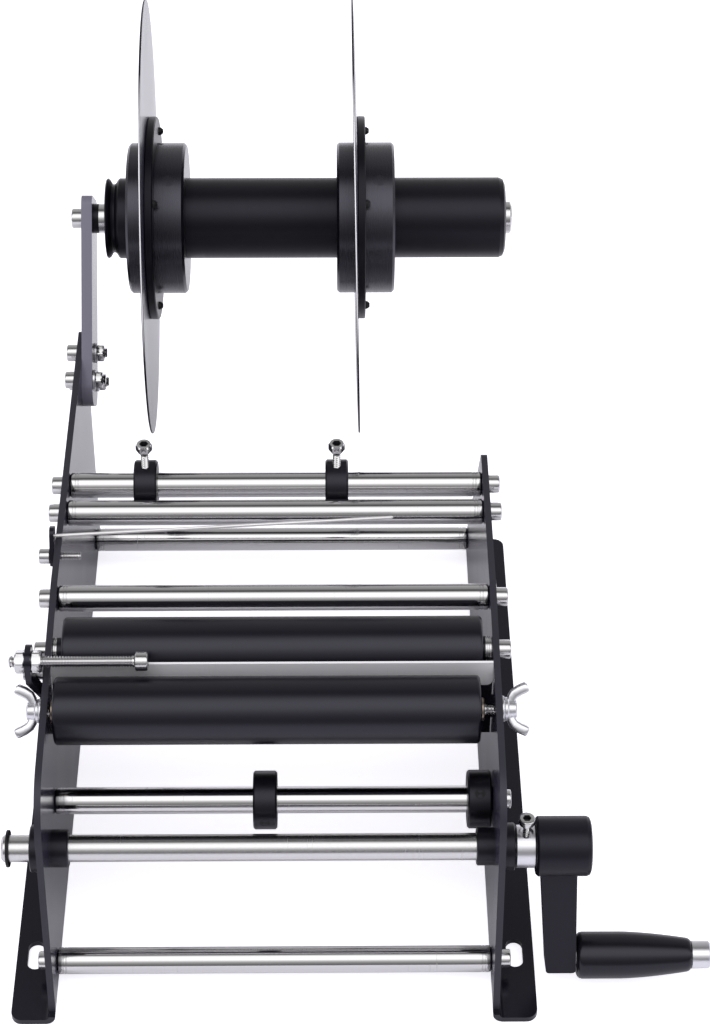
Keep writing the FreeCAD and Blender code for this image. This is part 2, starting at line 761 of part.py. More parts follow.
def make_crank_arm():
    """A cast hub with a tapering arm; the arm hangs along -z before it leans forward."""
    bore = "shaft_radius + seat_gap"
    arm = turned("crank_arm", [
        ("0", bore), ("0", "hub_radius - hub_chamfer"), ("hub_chamfer", "hub_radius"),
        ("hub_length - hub_round", "hub_radius"),
        ("hub_length - hub_round * 0.3", "hub_radius - hub_round * 0.3"),
        ("hub_length", "hub_radius - hub_round"), ("hub_length", bore)])
    blade = new_sketch(arm, "XZ")
    tip = "-(crank_throw + arm_tip_reach)"
    root = "-(shaft_radius + 2)"
    start = "(arm_start + arm_tip_shift)"
    corners = [(start, tip), (f"{start} + arm_tip_width", tip)]
    draw_outline(blade, [("arm_start", root), *corners, ("arm_start + arm_root_width", root)])
    feature = pad(arm, blade, "arm_depth", centred=True)
    round_off(arm, feature, corners, 1, "arm_tip_radius")
    cut_holes(arm, "YZ", [("0", "-crank_throw", "spindle_radius + seat_gap")])
    node(arm, HUB_X, "crank_y", "crank_z", "-crank_lean")


def make_grip():
    """A tapered grip that turns on a spindle fixed in the tip of the arm."""
    y = "crank_y - crank_throw * sin(crank_lean)"
    z = "crank_z - crank_throw * cos(crank_lean)"
    bore = "spindle_radius + running_gap"
    grip = turned("crank_grip", [
        ("0", bore), ("0", "grip_base_radius - grip_edge"), ("grip_edge", "grip_base_radius"),
        ("grip_length * 0.4", "grip_base_radius"), ("grip_length * 0.7", "grip_neck_radius"),
        ("grip_length - grip_edge", "grip_tip_radius"), ("grip_length", "grip_tip_radius - grip_edge"),
        ("grip_length", bore)])
    node(grip, GRIP_X, y, z)
    depth = "(arm_tip_width + face_gap)"
    head = f"({depth} + grip_length + face_gap)"
    spindle = turned("grip_spindle", [
        ("0", "0"), ("0", "spindle_radius"), (head, "spindle_radius"), (head, "spindle_head_radius"),
        (f"{head} + spindle_head_length - 1", "spindle_head_radius"),
        (f"{head} + spindle_head_length", "spindle_head_radius - 1"), (f"{head} + spindle_head_length", "0")])
    node(spindle, f"{GRIP_X} - {depth}", y, z)


# ---------------------------------------------------------------- collars on rods

def make_guide_collars():
    """Collars that slide along the guide rod, each locked by a hexagon-headed thumb screw."""
    for name in ("left", "right"):
        x = f"guide_collar_{name}_x"
        collar = turned(f"{name}_guide_collar", tube_outline(
            "guide_collar_width", "guide_collar_radius", "rod_radius + running_gap", "rod_collar_edge"))
        cut_holes(collar, "XY", [("guide_collar_width / 2", "0", "thumb_radius + thread_gap")],
                  "guide_collar_radius + 1", True)
        node(collar, f"{x} - guide_collar_width / 2", "guide_rod_y", "upper_rod_z")
        length = "(guide_collar_radius + thumb_height - rod_radius - face_gap)"
        screw = turned(f"{name}_guide_thumb_screw", [
            ("thumb_head_height", "0"), ("thumb_head_height", "thumb_head_flats / 2"),
            ("thumb_head_height + thumb_neck", "thumb_radius"), (f"{length} - 0.5", "thumb_radius"),
            (length, "thumb_radius - 0.5"), (length, "0")])
        head = new_sketch(screw, "YZ")
        draw_outline(head, hexagon_corners("thumb_head_flats"))
        pad(screw, head, "thumb_head_height")
        node(screw, x, "guide_rod_y", "upper_rod_z + guide_collar_radius + thumb_height", "90", (0, 1, 0))


def make_waste_collars():
    """Broad collars on the waste rod that keep the used backing web in line."""
    for name in ("left", "right"):
        x = f"({INNER} - waste_collar_{name}_inset)"
        collar = turned(f"{name}_waste_collar", tube_outline(
            "waste_collar_width", "waste_collar_radius", "rod_radius + running_gap", "rod_collar_edge"))
        cut_holes(collar, "XY", [("waste_collar_width / 2", "0", "set_screw_radius")],
                  "waste_collar_radius + 1", True)
        node(collar, f"{x} - waste_collar_width / 2", "waste_rod_y", "waste_rod_z")


# ---------------------------------------------------------------- pointer and stop

def make_pointer():
    """A lever outside the left plate carries a thin wire across the web."""
    face = f"(-{OUTER} - face_gap)"
    angle = "-atan(pointer_wire_back / pointer_wire_rise)"
    reach = "sqrt(pointer_wire_back ^ 2 + pointer_wire_rise ^ 2)"
    lever = new_body("pointer_lever")
    sketch = new_sketch(lever, "YZ")
    half = "lever_width / 2"
    top = f"({reach} + lever_top)"
    corners = [(f"-{half}", "-lever_tail"), (half, "-lever_tail"), (half, top), (f"-{half}", top)]
    draw_outline(sketch, corners)
    blade = pad(lever, sketch, "lever_thickness", reverse=True)
    round_off(lever, blade, corners, 0, "lever_width * 0.38")
    cut_holes(lever, "YZ", [("0", "0", "pointer_screw_radius + running_gap"),
                            ("0", reach, "pointer_wire_radius + seat_gap")])
    node(lever, face, "pointer_y", "pointer_z", angle)
    wire = turned("pointer_wire", [
        ("-lever_thickness", "0"), ("-lever_thickness", "pointer_wire_radius"),
        ("pointer_wire_length - pointer_wire_radius", "pointer_wire_radius"),
        ("pointer_wire_length", "pointer_wire_radius / 2"), ("pointer_wire_length", "0")])
    node(wire, face, "pointer_y + pointer_wire_back", "pointer_z + pointer_wire_rise", "pointer_wire_lean",
         (0, 0, 1))
    head = f"({face} - lever_thickness - face_gap)"
    screw = turned("pointer_screw", screw_outline(
        "pointer_screw_head_radius", "pointer_screw_head_height", "pointer_screw_radius",
        "lever_thickness + 2 * face_gap + plate_thickness + pointer_screw_reach"))
    node(screw, head, "pointer_y", "pointer_z")


def make_stop_bracket():
    """A bent strip outside the left plate; x = 0 is the face of its upright tab next to the plate."""
    bracket = new_body("stop_bracket")
    width = "(bracket_rear_y - bracket_front_y)"
    upright = new_sketch(bracket, "YZ")
    draw_outline(upright, [
        ("0", "bracket_knee_z"), ("bracket_leg_width + 1", "bracket_knee_z"),
        ("bracket_leg_width + 1", "bracket_heel_z"), (width, "bracket_heel_z"),
        (width, "bracket_top_z"), ("0", "bracket_top_z")])
    tab = pad(bracket, upright, "bracket_thickness", reverse=True)
    round_off(bracket, tab, [("0", "bracket_top_z"), (width, "bracket_top_z")], 0, "bracket_corner_radius")
    slant = new_sketch(bracket, "XZ")
    draw_outline(slant, [
        ("0", "bracket_knee_z + 1"), ("-bracket_thickness", "bracket_knee_z + 1"),
        ("-bracket_thickness", "bracket_knee_z - 0.8"),
        ("bracket_stand_off", "bracket_foot_z - bracket_thickness * 1.2"),
        ("bracket_stand_off", "bracket_foot_z")])
    pad(bracket, slant, "bracket_leg_width", reverse=True)
    cut_holes(bracket, "YZ", [("stop_y - bracket_front_y", "stop_z", "stop_radius + running_gap"),
                              ("bracket_screw_y - bracket_front_y", "bracket_screw_z",
                               "bracket_screw_radius + thread_gap")])
    node(bracket, f"-{OUTER} - bracket_stand_off", "bracket_front_y", "0")


def make_stop():
    """A long screw through the bracket, set by a nut on each side of it."""
    bore = "stop_radius + thread_gap"
    far = f"({OUTER} + bracket_stand_off + bracket_thickness)"
    length = "(stop_tail + stop_reach - stop_head_height)"
    screw = turned("edge_stop_screw", screw_outline(
        "stop_head_radius", "stop_head_height", "stop_radius", length))
    node(screw, f"-{INNER} + stop_reach - stop_head_height", "stop_y", "stop_z", "180", (0, 0, 1))
    outer_nut = hexagon("stop_outer_nut", "stop_nut_flats", bore, "stop_nut_height")
    place(outer_nut, f"-{far} - stop_nut_height", "stop_y", "stop_z")
    inner_nut = hexagon("stop_inner_nut", "stop_nut_flats", bore, "stop_nut_height")
    place(inner_nut, f"-{far} + bracket_thickness", "stop_y", "stop_z")
    frame_nuts.extend([outer_nut, inner_nut])


def make_bracket_screw():
    """A screw holds the bracket to the plate, with a round spacer between the two."""
    spacer = turned("bracket_spacer", tube_outline(
        "bracket_stand_off", "bracket_spacer_radius", "bracket_screw_radius + thread_gap", "0.3"))
    node(spacer, f"-{OUTER} - bracket_stand_off", "bracket_screw_y", "bracket_screw_z")
    far = f"({OUTER} + bracket_stand_off + bracket_thickness)"
    screw = turned("bracket_screw", screw_outline(
        "bracket_screw_head_radius", "bracket_screw_head_height", "bracket_screw_radius",
        "bracket_thickness + bracket_stand_off + plate_thickness"))
    node(screw, f"-{far}", "bracket_screw_y", "bracket_screw_z")


# ---------------------------------------------------------------- spool

def make_spool_arm():
    """A flat bar bolted inside the left plate, which carries the spool shaft at its top."""
    arm = new_body("spool_arm")
    sketch = new_sketch(arm, "YZ")
    half = "spool_arm_width / 2"
    foot = [(f"-{half}", "-spool_arm_bottom"), (half, "-spool_arm_bottom")]
    top = [(half, "spool_arm_top"), (f"-{half}", "spool_arm_top")]
    draw_outline(sketch, foot + top)
    bar = pad(arm, sketch, "spool_arm_thickness")
    bar = round_off(arm, bar, top, 0, "spool_arm_corner")
    round_off(arm, bar, foot, 0, "spool_arm_foot_corner")
    cut_holes(arm, "YZ", [("0", "0", "shaft_bolt_radius + hole_gap"), ("0", "-arm_upper_bolt", HOLE),
                          ("-arm_bolt_side", "-arm_lower_bolts", HOLE),
                          ("arm_bolt_side", "-arm_lower_bolts", HOLE)])
    node(arm, f"-{INNER}", *SPOOL, "-spool_arm_lean")


def make_arm_bolts():
    """Cap screws, washers and nuts that hold the arm to the plate."""
    reach = "(plate_thickness + spool_arm_thickness + bolt_washer_thickness + nut_height + 1.5)"
    bore = "screw_radius + thread_gap"
    for number, (y, z) in enumerate(ARM_BOLTS):
        screw = turned(f"arm_screw_{number}", screw_outline(
            "screw_head_radius", "screw_head_height", "screw_radius", reach))
        place(screw, f"-{OUTER}", y, z)
        frame_screws.append(screw)
        washer = turned(f"arm_washer_{number}", tube_outline(
            "bolt_washer_thickness", "bolt_washer_radius", bore, "0.2"))
        place(washer, SPOOL_ARM_X, y, z)
        frame_washers.append(washer)
        nut = hexagon(f"arm_nut_{number}", "nut_flats", bore, "nut_height")
        place(nut, f"{SPOOL_ARM_X} + bolt_washer_thickness", y, z)
        frame_nuts.append(nut)


def make_spool_shaft():
    """The fixed shaft, its spacer, the screw that holds it to the arm and its end nut."""
    bore = "shaft_bolt_radius + thread_gap"
    nut_start = f"({TUBE_END} + face_gap)"
    stud = "(spool_shaft_radius - 1)"
    shaft = turned("spool_shaft", [
        (SPOOL_ARM_X, bore), (SPOOL_ARM_X, "spool_shaft_radius"), (nut_start, "spool_shaft_radius"),
        (nut_start, stud), (f"{nut_start} + end_nut_height - 1", stud),
        (f"{nut_start} + end_nut_height - 1", "0"), (f"{SPOOL_ARM_X} + shaft_bolt_reach", "0"),
        (f"{SPOOL_ARM_X} + shaft_bolt_reach", bore)])
    node(shaft, "0", *SPOOL)
    spacer = turned("spool_spacer", tube_outline(
        "spool_spacer_length", "spool_spacer_radius", "spool_shaft_radius + seat_gap"))
    node(spacer, SPOOL_ARM_X, *SPOOL)
    screw = turned("spool_shaft_screw", screw_outline(
        "shaft_bolt_head_radius", "shaft_bolt_head_height", "shaft_bolt_radius",
        "spool_arm_thickness + shaft_bolt_reach - 2"))
    node(screw, f"-{INNER}", *SPOOL)
    nut = turned("spool_end_nut", [
        ("0", f"{stud} + thread_gap"), ("0", "end_nut_radius"), ("end_nut_height - 0.8", "end_nut_radius"),
        ("end_nut_height", "end_nut_radius - 0.8"), ("end_nut_height", "0"), ("end_nut_height - 0.7", "0"),
        ("end_nut_height - 0.7", f"{stud} + thread_gap")])
    node(nut, nut_start, *SPOOL)


def make_spool_tube():
    tube = turned("spool_tube", [
        ("0", "spool_tube_bore"), ("0", "spool_tube_radius"),
        ("spool_tube_length - spool_tube_edge", "spool_tube_radius"),
        ("spool_tube_length - spool_tube_edge * 0.3", "spool_tube_radius - spool_tube_edge * 0.3"),
        ("spool_tube_length", "spool_tube_radius - spool_tube_edge"),
        ("spool_tube_length", "spool_tube_bore")])
    node(tube, SPOOL_X, *SPOOL)
    bushes = []
    for end, x in (("left", SPOOL_X), ("right", f"{TUBE_END} - spool_bush_length")):
        bush = turned(f"spool_{end}_bush", tube_outline(
            "spool_bush_length", "spool_tube_bore - seat_gap", "spool_shaft_radius + running_gap"))
        place(bush, x, *SPOOL)
        bushes.append(bush)
    group("spool_bushes", bushes)


def make_pulley():
    """A brake pulley with a round groove and a dished outer flange."""
    bore = "spool_shaft_radius + running_gap"
    pulley = turned("brake_pulley", [
        ("0.8", bore), ("0.8", "pulley_radius * 0.6"), ("0", "pulley_radius * 0.85"),
        ("0", "pulley_radius - 0.6"), ("0.6", "pulley_radius"), ("1.6", "pulley_radius - 0.6"),
        ("2.9", "pulley_groove_radius + 0.2"), ("3.6", "pulley_groove_radius"),
        ("4.6", "pulley_groove_radius + 0.4"), ("5.9", "pulley_radius - 0.6"),
        ("6.6", "pulley_radius"), ("pulley_length", "pulley_radius"), ("pulley_length", bore)])
    node(pulley, PULLEY_X, *SPOOL)


def make_flange(name, hub_x):
    """A hub on the tube with a thin disc, a ring behind it and the screws that join them."""
    hub = turned(f"{name}_hub", tube_outline(
        "spool_hub_length", "spool_hub_radius", "spool_tube_radius + running_gap", "spool_hub_edge"))
    cut_holes(hub, "XY", [("hub_hole_offset", "0", "hub_hole_radius")], "spool_hub_radius + 1", True)
    node(hub, hub_x, *SPOOL, "25")
    seat = "spool_hub_radius + seat_gap"
    disc = turned(f"{name}_disc", tube_outline("disc_thickness", "disc_radius", seat, "0.2"))
    disc_x = f"({hub_x} + disc_offset)"
    node(disc, disc_x, *SPOOL)
    ring = turned(f"{name}_ring", tube_outline("ring_thickness", "ring_radius", seat, "0.5"))
    cut_ring_holes(ring)
    node(ring, f"{disc_x} + disc_thickness", *SPOOL)
    screws = []
    head = f"({disc_x} + disc_thickness + ring_thickness)"
    for number in range(RING_SCREWS):
        turn = 360 / RING_SCREWS * (number + 0.5)
        screw = turned(f"{name}_screw_{number}", [
            ("1 - ring_thickness", "0"), ("1 - ring_thickness", "ring_screw_radius * 0.6"),
            ("0", "ring_screw_radius * 0.6"), ("0", "ring_screw_radius"),
            ("ring_screw_height * 0.5", "ring_screw_radius * 0.9"),
            ("ring_screw_height", "ring_screw_radius * 0.5"), ("ring_screw_height", "0")])
        place(screw, head, f"{SPOOL_Y} + ring_screw_pitch_radius * cos({turn})",
              f"spool_z + ring_screw_pitch_radius * sin({turn})")
        screws.append(screw)
    group(f"{name}_ring_screws", screws)


def cut_ring_holes(ring):
    """Holes for the ring screws, on one pitch circle."""
    holes = []
    for number in range(RING_SCREWS):
        turn = 360 / RING_SCREWS * (number + 0.5)
        holes.append((f"ring_screw_pitch_radius * cos({turn})", f"ring_screw_pitch_radius * sin({turn})",
                      "ring_screw_radius * 0.6 + thread_gap"))
    cut_holes(ring, "YZ", holes)


# ---------------------------------------------------------------- assembly

def check_and_write():
    """Stop on any failed feature or unsound solid, then write every node."""
    document.recompute()
    for item in document.Objects:
        if {"Invalid", "Error"} & set(item.State):
            raise RuntimeError(f"{item.Label} failed: {item.State}")
    os.makedirs("parts", exist_ok=True)
    for item in nodes:
        if item.Shape.isNull() or not item.Shape.isValid():
            raise RuntimeError(f"{item.Label} is not a sound shape")
        item.Shape.exportStep(f"parts/{item.Label}.step")
        print(f"{item.Label}: {len(item.Shape.Solids)} solid(s), {item.Shape.Volume:.0f} mm3")


make_side_plates()
make_rods()
make_rod_screws()
make_peel_plate()
make_roller("upper", "0", "upper_roller_y", "upper_roller_z")
make_roller_spacers("upper", "0", "spacer_length", "spacer_radius", "upper_roller_y", "upper_roller_z")
make_upper_axle()
make_roller("lower", "lower_roller_shift", "lower_roller_y", "lower_roller_z")
make_roller_spacers("lower", "lower_roller_shift", "lower_spacer_length", "lower_spacer_radius",
                    "lower_roller_y", "lower_roller_z")
make_lower_axle()
make_wing_nuts()
make_crank_shaft()
make_crank_bushings()
make_shaft_collar()
make_crank_arm()
make_grip()
make_guide_collars()
make_waste_collars()
make_pointer()
make_stop_bracket()
make_stop()
make_bracket_screw()
make_spool_arm()
make_arm_bolts()
make_spool_shaft()
make_spool_tube()
make_pulley()
make_flange("fixed_flange", SPOOL_X)
make_flange("sliding_flange", SLIDING_X)
group("frame_cap_screws", frame_screws)
group("frame_washers", frame_washers)
group("frame_nuts", frame_nuts)
check_and_write()
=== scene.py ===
import json
import math

import bmesh
import bpy
from mathutils import Euler, Matrix, Vector


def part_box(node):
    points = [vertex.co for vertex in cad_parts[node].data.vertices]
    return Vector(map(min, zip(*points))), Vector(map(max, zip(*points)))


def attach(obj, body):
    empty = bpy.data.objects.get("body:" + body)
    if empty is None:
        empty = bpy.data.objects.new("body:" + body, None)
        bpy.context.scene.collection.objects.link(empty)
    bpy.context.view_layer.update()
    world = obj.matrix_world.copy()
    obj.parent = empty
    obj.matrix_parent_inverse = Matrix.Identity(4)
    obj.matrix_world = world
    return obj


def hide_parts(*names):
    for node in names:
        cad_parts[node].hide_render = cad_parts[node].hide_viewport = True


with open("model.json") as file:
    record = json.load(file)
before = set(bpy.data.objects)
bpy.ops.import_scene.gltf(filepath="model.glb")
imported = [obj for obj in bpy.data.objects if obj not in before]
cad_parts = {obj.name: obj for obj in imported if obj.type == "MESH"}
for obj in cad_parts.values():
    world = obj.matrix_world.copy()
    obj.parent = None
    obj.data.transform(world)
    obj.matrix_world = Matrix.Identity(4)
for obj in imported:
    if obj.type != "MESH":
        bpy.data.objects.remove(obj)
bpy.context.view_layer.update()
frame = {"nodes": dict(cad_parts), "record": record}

bl_info = {
    "name": "Bottle labelling machine dresser",
    "version": (1, 0, 0),
    "blender": (4, 5, 0),
    "location": "View3D > Sidebar > Labeller",
    "description": "Finishes the parts of a bench bottle labelling machine and sets up its studio",
    "category": "Object",
}

NODES = frame["nodes"]
BODY_OF = {node: body for body, nodes in frame["record"]["behaviour"]["bodies"].items() for node in nodes}
MM = 0.001
TURN = 2 * math.pi
RELIEF = 0.02 * MM


# ------------------------------------------------------------------ settings

class StudioSettings(bpy.types.PropertyGroup):
    """Where the camera stands and how the studio is lit"""
    camera_place: bpy.props.FloatVectorProperty(
        name="Camera place", description="Where the camera stands",
        default=(-0.01127, -0.9404, 0.9562), subtype="TRANSLATION", unit="LENGTH")
    camera_down: bpy.props.FloatProperty(
        name="Camera pitch", description="How far the camera looks down",
        default=math.radians(42.5), subtype="ANGLE", unit="ROTATION")
    camera_turn: bpy.props.FloatProperty(
        name="Camera heading", description="How far the camera is turned to the left",
        default=math.radians(-0.64), subtype="ANGLE", unit="ROTATION")
    camera_roll: bpy.props.FloatProperty(
        name="Camera roll", description="How far the camera is tipped on its own axis",
        default=math.radians(0.22), subtype="ANGLE", unit="ROTATION")
    focal_length: bpy.props.FloatProperty(
        name="Focal length", description="Focal length of the lens in millimetres", default=91.81)
    floor_colour: bpy.props.FloatVectorProperty(
        name="Floor colour", description="Colour of the plain floor", default=(0.84, 0.83, 0.88),
        subtype="COLOR", size=3)
    softbox_power: bpy.props.FloatProperty(
        name="Softbox power", description="Power of the overhead softbox in watts",
        default=12.0, unit="POWER")


class FinishSettings(bpy.types.PropertyGroup):
    """Colours of the machine's finishes"""
    enamel: bpy.props.FloatVectorProperty(
        name="Gloss enamel", description="Colour of the painted plates", default=(0.0070, 0.0066, 0.0105),
        subtype="COLOR", size=3)
    steel: bpy.props.FloatVectorProperty(
        name="Polished steel", description="Colour of the polished rods", default=(0.70, 0.69, 0.70),
        subtype="COLOR", size=3)
    zinc: bpy.props.FloatVectorProperty(
        name="Zinc plating", description="Colour of the plated fasteners", default=(0.80, 0.80, 0.84),
        subtype="COLOR", size=3)
    rubber: bpy.props.FloatVectorProperty(
        name="Roller rubber", description="Colour of the roller covers", default=(0.0035, 0.0036, 0.0058),
        subtype="COLOR", size=3)
    anodised: bpy.props.FloatVectorProperty(
        name="Black anodising", description="Colour of the spool parts", default=(0.0040, 0.0039, 0.0060),
        subtype="COLOR", size=3)
    plastic: bpy.props.FloatVectorProperty(
        name="Black plastic", description="Colour of collars and bushings", default=(0.0045, 0.0045, 0.0065),
        subtype="COLOR", size=3)
    cut_edge: bpy.props.FloatVectorProperty(
        name="Sheared edge", description="Colour of the plates' cut edges", default=(0.026, 0.025, 0.033),
        subtype="COLOR", size=3)
    # Painted reflection: the lighter lavender colour of the spool arm's narrow faces stands in for their
    # reflection of the bright surroundings.
    bar_edge_reflection: bpy.props.FloatVectorProperty(
        name="Bar edge reflection", description="Colour painted on the spool arm's narrow faces as their reflection", default=(0.20, 0.19, 0.245),
        subtype="COLOR", size=3)
    # Painted reflection: the lavender colour the enamel takes where it is seen edge on stands in for its
    # reflection of the bright surroundings.
    grazing_reflection_paint: bpy.props.FloatVectorProperty(
        name="Enamel painted reflection", description="Colour of the enamel where it is seen edge on",
        default=(0.060, 0.056, 0.095), subtype="COLOR", size=3)


class HardwareSettings(bpy.types.PropertyGroup):
    """Sizes of the threads and heads that the fasteners share"""
    thread_pitch: bpy.props.FloatProperty(
        name="Thread pitch", description="Distance between two threads", default=1.25 * MM, unit="LENGTH")
    thread_depth: bpy.props.FloatProperty(
        name="Thread depth", description="Depth of a thread", default=0.65 * MM, unit="LENGTH")
    socket_depth: bpy.props.FloatProperty(
        name="Socket depth", description="Depth of a hexagon socket as a share of its head", default=0.55)
    edge_round: bpy.props.FloatProperty(
        name="Broken edge", description="Rounding of sheared and turned edges",
        default=0.25 * MM, unit="LENGTH")
    wing_lean: bpy.props.FloatProperty(
        name="Wing nut lean", description="How far the wing nuts are turned forward from upright",
        default=math.radians(42.5), subtype="ANGLE", unit="ROTATION")


def studio():
    return bpy.context.scene.labeller_studio


def finishes():
    return bpy.context.scene.labeller_finishes


def hardware():
    return bpy.context.scene.labeller_hardware


# ------------------------------------------------------------------ shader groups

def new_group(name, inputs):
    """A shader node group that gives a colour, a roughness and a height from its named inputs."""
    group = bpy.data.node_groups.new(name, "ShaderNodeTree")
    for label, kind, default in inputs:
        socket = group.interface.new_socket(label, in_out="INPUT", socket_type=f"NodeSocket{kind}")
        socket.default_value = default
    for label, kind in (("Colour", "Color"), ("Roughness", "Float"), ("Height", "Float")):
        group.interface.new_socket(label, in_out="OUTPUT", socket_type=f"NodeSocket{kind}")
    return group, group.nodes.new("NodeGroupInput"), group.nodes.new("NodeGroupOutput")


def add(tree, kind, **settings):
    """A new node with its own settings."""
    node = tree.nodes.new(kind)
    for name, setting in settings.items():
        setattr(node, name, setting)
    return node


def feed(tree, socket, source):
    """Give an input a number or colour, or link it to an output."""
    if isinstance(source, bpy.types.NodeSocket):
        tree.links.new(source, socket)
    else:
        socket.default_value = source


def add_math(tree, operation, *sources):
    """The result of a math node."""
    node = add(tree, "ShaderNodeMath", operation=operation)
    for socket, source in zip(node.inputs, sources):
        feed(tree, socket, source)
    return node.outputs[0]


def add_range(tree, source, low, high, new_low=0.0, new_high=1.0):
    """A value stretched from one range to another."""
    node = add(tree, "ShaderNodeMapRange")
    for label, number in (("Value", source), ("From Min", low), ("From Max", high),
                          ("To Min", new_low), ("To Max", new_high)):
        feed(tree, node.inputs[label], number)
    return node.outputs[0]


def add_mix(tree, factor, first, second):
    """A blend of two colours."""
    node = add(tree, "ShaderNodeMix", data_type="RGBA")
    for label, source in (("Factor", factor), (6, first), (7, second)):
        feed(tree, node.inputs[label], source)
    return node.outputs[2]


def add_noise(tree, vector, scale, detail=2.0):
    """Noise over a vector."""
    node = add(tree, "ShaderNodeTexNoise")
    for label, source in (("Vector", vector), ("Scale", scale), ("Detail", detail)):
        feed(tree, node.inputs[label], source)
    return node.outputs["Fac"]


def add_scaled(tree, vector, factor):
    """A vector or colour times a factor."""
    node = add(tree, "ShaderNodeVectorMath", operation="SCALE")
    feed(tree, node.inputs[0], vector)
    feed(tree, node.inputs["Scale"], factor)
    return node.outputs[0]


def add_mapping(tree, vector, rotation, scale):
    """A vector turned and stretched."""
    node = add(tree, "ShaderNodeMapping")
    for label, source in (("Vector", vector), ("Rotation", rotation), ("Scale", scale)):
        feed(tree, node.inputs[label], source)
    return node.outputs["Vector"]


def grain_group():
    """Fine isotropic grain: a height for a bump, a mask for roughness and a varied colour."""
    if "Fine grain" in bpy.data.node_groups:
        return bpy.data.node_groups["Fine grain"]
    group, source, result = new_group(
        "Fine grain",
        [("Colour", "Color", (0.5, 0.5, 0.5, 1)), ("Scale", "Float", 900.0), ("Colour change", "Float", 0.15),
         ("Roughness", "Float", 0.4), ("Roughness change", "Float", 0.1)])
    given = source.outputs
    place = add(group, "ShaderNodeTexCoord").outputs["Object"]
    fine = add_noise(group, place, given["Scale"], 3.0)
    cloudy = add_math(group, "SUBTRACT", add_noise(group, place, 28.0, 4.0), 0.5)
    bright = add_math(group, "MULTIPLY_ADD", cloudy, given["Colour change"], 1.0)
    feed(group, result.inputs["Colour"], add_scaled(group, given["Colour"], bright))
    feed(group, result.inputs["Roughness"],
         add_math(group, "MULTIPLY_ADD", cloudy, given["Roughness change"], given["Roughness"]))
    feed(group, result.inputs["Height"], fine)
    return group


def polish_group():
    """Marks of turning and polishing round the x axis, with a few stray scratches."""
    if "Turned polish" in bpy.data.node_groups:
        return bpy.data.node_groups["Turned polish"]
    group, source, result = new_group(
        "Turned polish",
        [("Colour", "Color", (0.7, 0.7, 0.7, 1)), ("Lines", "Float", 1500.0), ("Roughness", "Float", 0.12),
         ("Roughness change", "Float", 0.1), ("Scratches", "Float", 0.3)])
    given = source.outputs
    place = add(group, "ShaderNodeTexCoord").outputs["Object"]
    lines = add_noise(group, add_mapping(group, place, (0, 0, 0), (1.0, 0.02, 0.02)), given["Lines"])
    stray = add_noise(group, add_mapping(group, place, (0.4, 0.7, 0.9), (900.0, 12.0, 40.0)), 1.0)
    patches = add_range(group, add_noise(group, place, 35.0), 0.5, 0.65)
    scratch = add_math(group, "MULTIPLY", add_range(group, stray, 0.62, 0.72), patches)
    strength = add_math(group, "MULTIPLY", scratch, given["Scratches"])
    centred = add_math(group, "SUBTRACT", lines, 0.5)
    rough = add_math(group, "MULTIPLY_ADD", centred, given["Roughness change"], given["Roughness"])
    fade = add_math(group, "MULTIPLY_ADD", strength, -0.6, 1.0)
    feed(group, result.inputs["Colour"], add_scaled(group, given["Colour"], fade))
    feed(group, result.inputs["Roughness"], add_math(group, "ADD", rough, strength))
    feed(group, result.inputs["Height"], lines)
    return group


# ------------------------------------------------------------------ materials

def finish(name, colour, effect, values, bump, metallic=0.0, specular=0.5, tint=(1.0, 1.0, 1.0), grazing=None,
           span=(0.80, 0.97)):
    """A Principled material whose colour, roughness and bump come from a shared group.

    A grazing colour takes over where the surface is seen almost edge on: painted light, a painted reflection
    on the enamels and painted shade on the disc rim.
    """
    if name in bpy.data.materials:
        return bpy.data.materials[name]
    material = bpy.data.materials.new(name)
    material.use_nodes = True
    tree = material.node_tree
    shader = tree.nodes["Principled BSDF"].inputs
    shader["Metallic"].default_value = metallic
    shader["Specular IOR Level"].default_value = specular
    shader["Specular Tint"].default_value = (*tint, 1.0)
    group = add(tree, "ShaderNodeGroup", node_tree=effect)
    group.inputs["Colour"].default_value = (*colour, 1.0)
    for label, number in values.items():
        group.inputs[label].default_value = number
    relief = add(tree, "ShaderNodeBump")
    relief.inputs["Strength"].default_value = bump
    relief.inputs["Distance"].default_value = RELIEF
    feed(tree, relief.inputs["Height"], group.outputs["Height"])
    base = group.outputs["Colour"]
    # Painted light: the grazing colour paints the enamels' reflection of the bright surroundings and the disc
    # rim's shade where they are seen edge on.
    if grazing:
        facing = add(tree, "ShaderNodeLayerWeight").outputs["Facing"]
        base = add_mix(tree, add_range(tree, facing, *span), base, (*grazing, 1.0))
    feed(tree, shader["Base Color"], base)
    feed(tree, shader["Roughness"], group.outputs["Roughness"])
    feed(tree, shader["Normal"], relief.outputs["Normal"])
    material.diffuse_color = (*colour, 1.0)
    return material


COOL = (0.86, 0.84, 1.0)


def grained(name, colour, scale, change, roughness, spread, **looks):
    """A finish with fine grain: its scale, change of colour, roughness and spread of roughness."""
    values = {"Scale": scale, "Colour change": change, "Roughness": roughness, "Roughness change": spread}
    return finish(name, colour, grain_group(), values, **looks)


def turned(name, colour, lines, roughness, spread, scratches, **looks):
    """A finish with marks of turning: their scale, roughness, its spread and scratches."""
    values = {"Lines": lines, "Roughness": roughness, "Roughness change": spread, "Scratches": scratches}
    return finish(name, colour, polish_group(), values, **looks)


# The enamel takes a painted lavender reflection where it is seen edge on.
def gloss_enamel():
    return grained("Gloss black enamel", finishes().enamel, 420.0, 0.1, 0.19, 0.06,
                   bump=0.25, specular=0.42, tint=COOL, grazing=finishes().grazing_reflection_paint)


def cut_edge():
    return grained("Sheared edge", finishes().cut_edge, 900.0, 0.25, 0.42, 0.1,
                   bump=0.5, specular=0.4, tint=COOL)


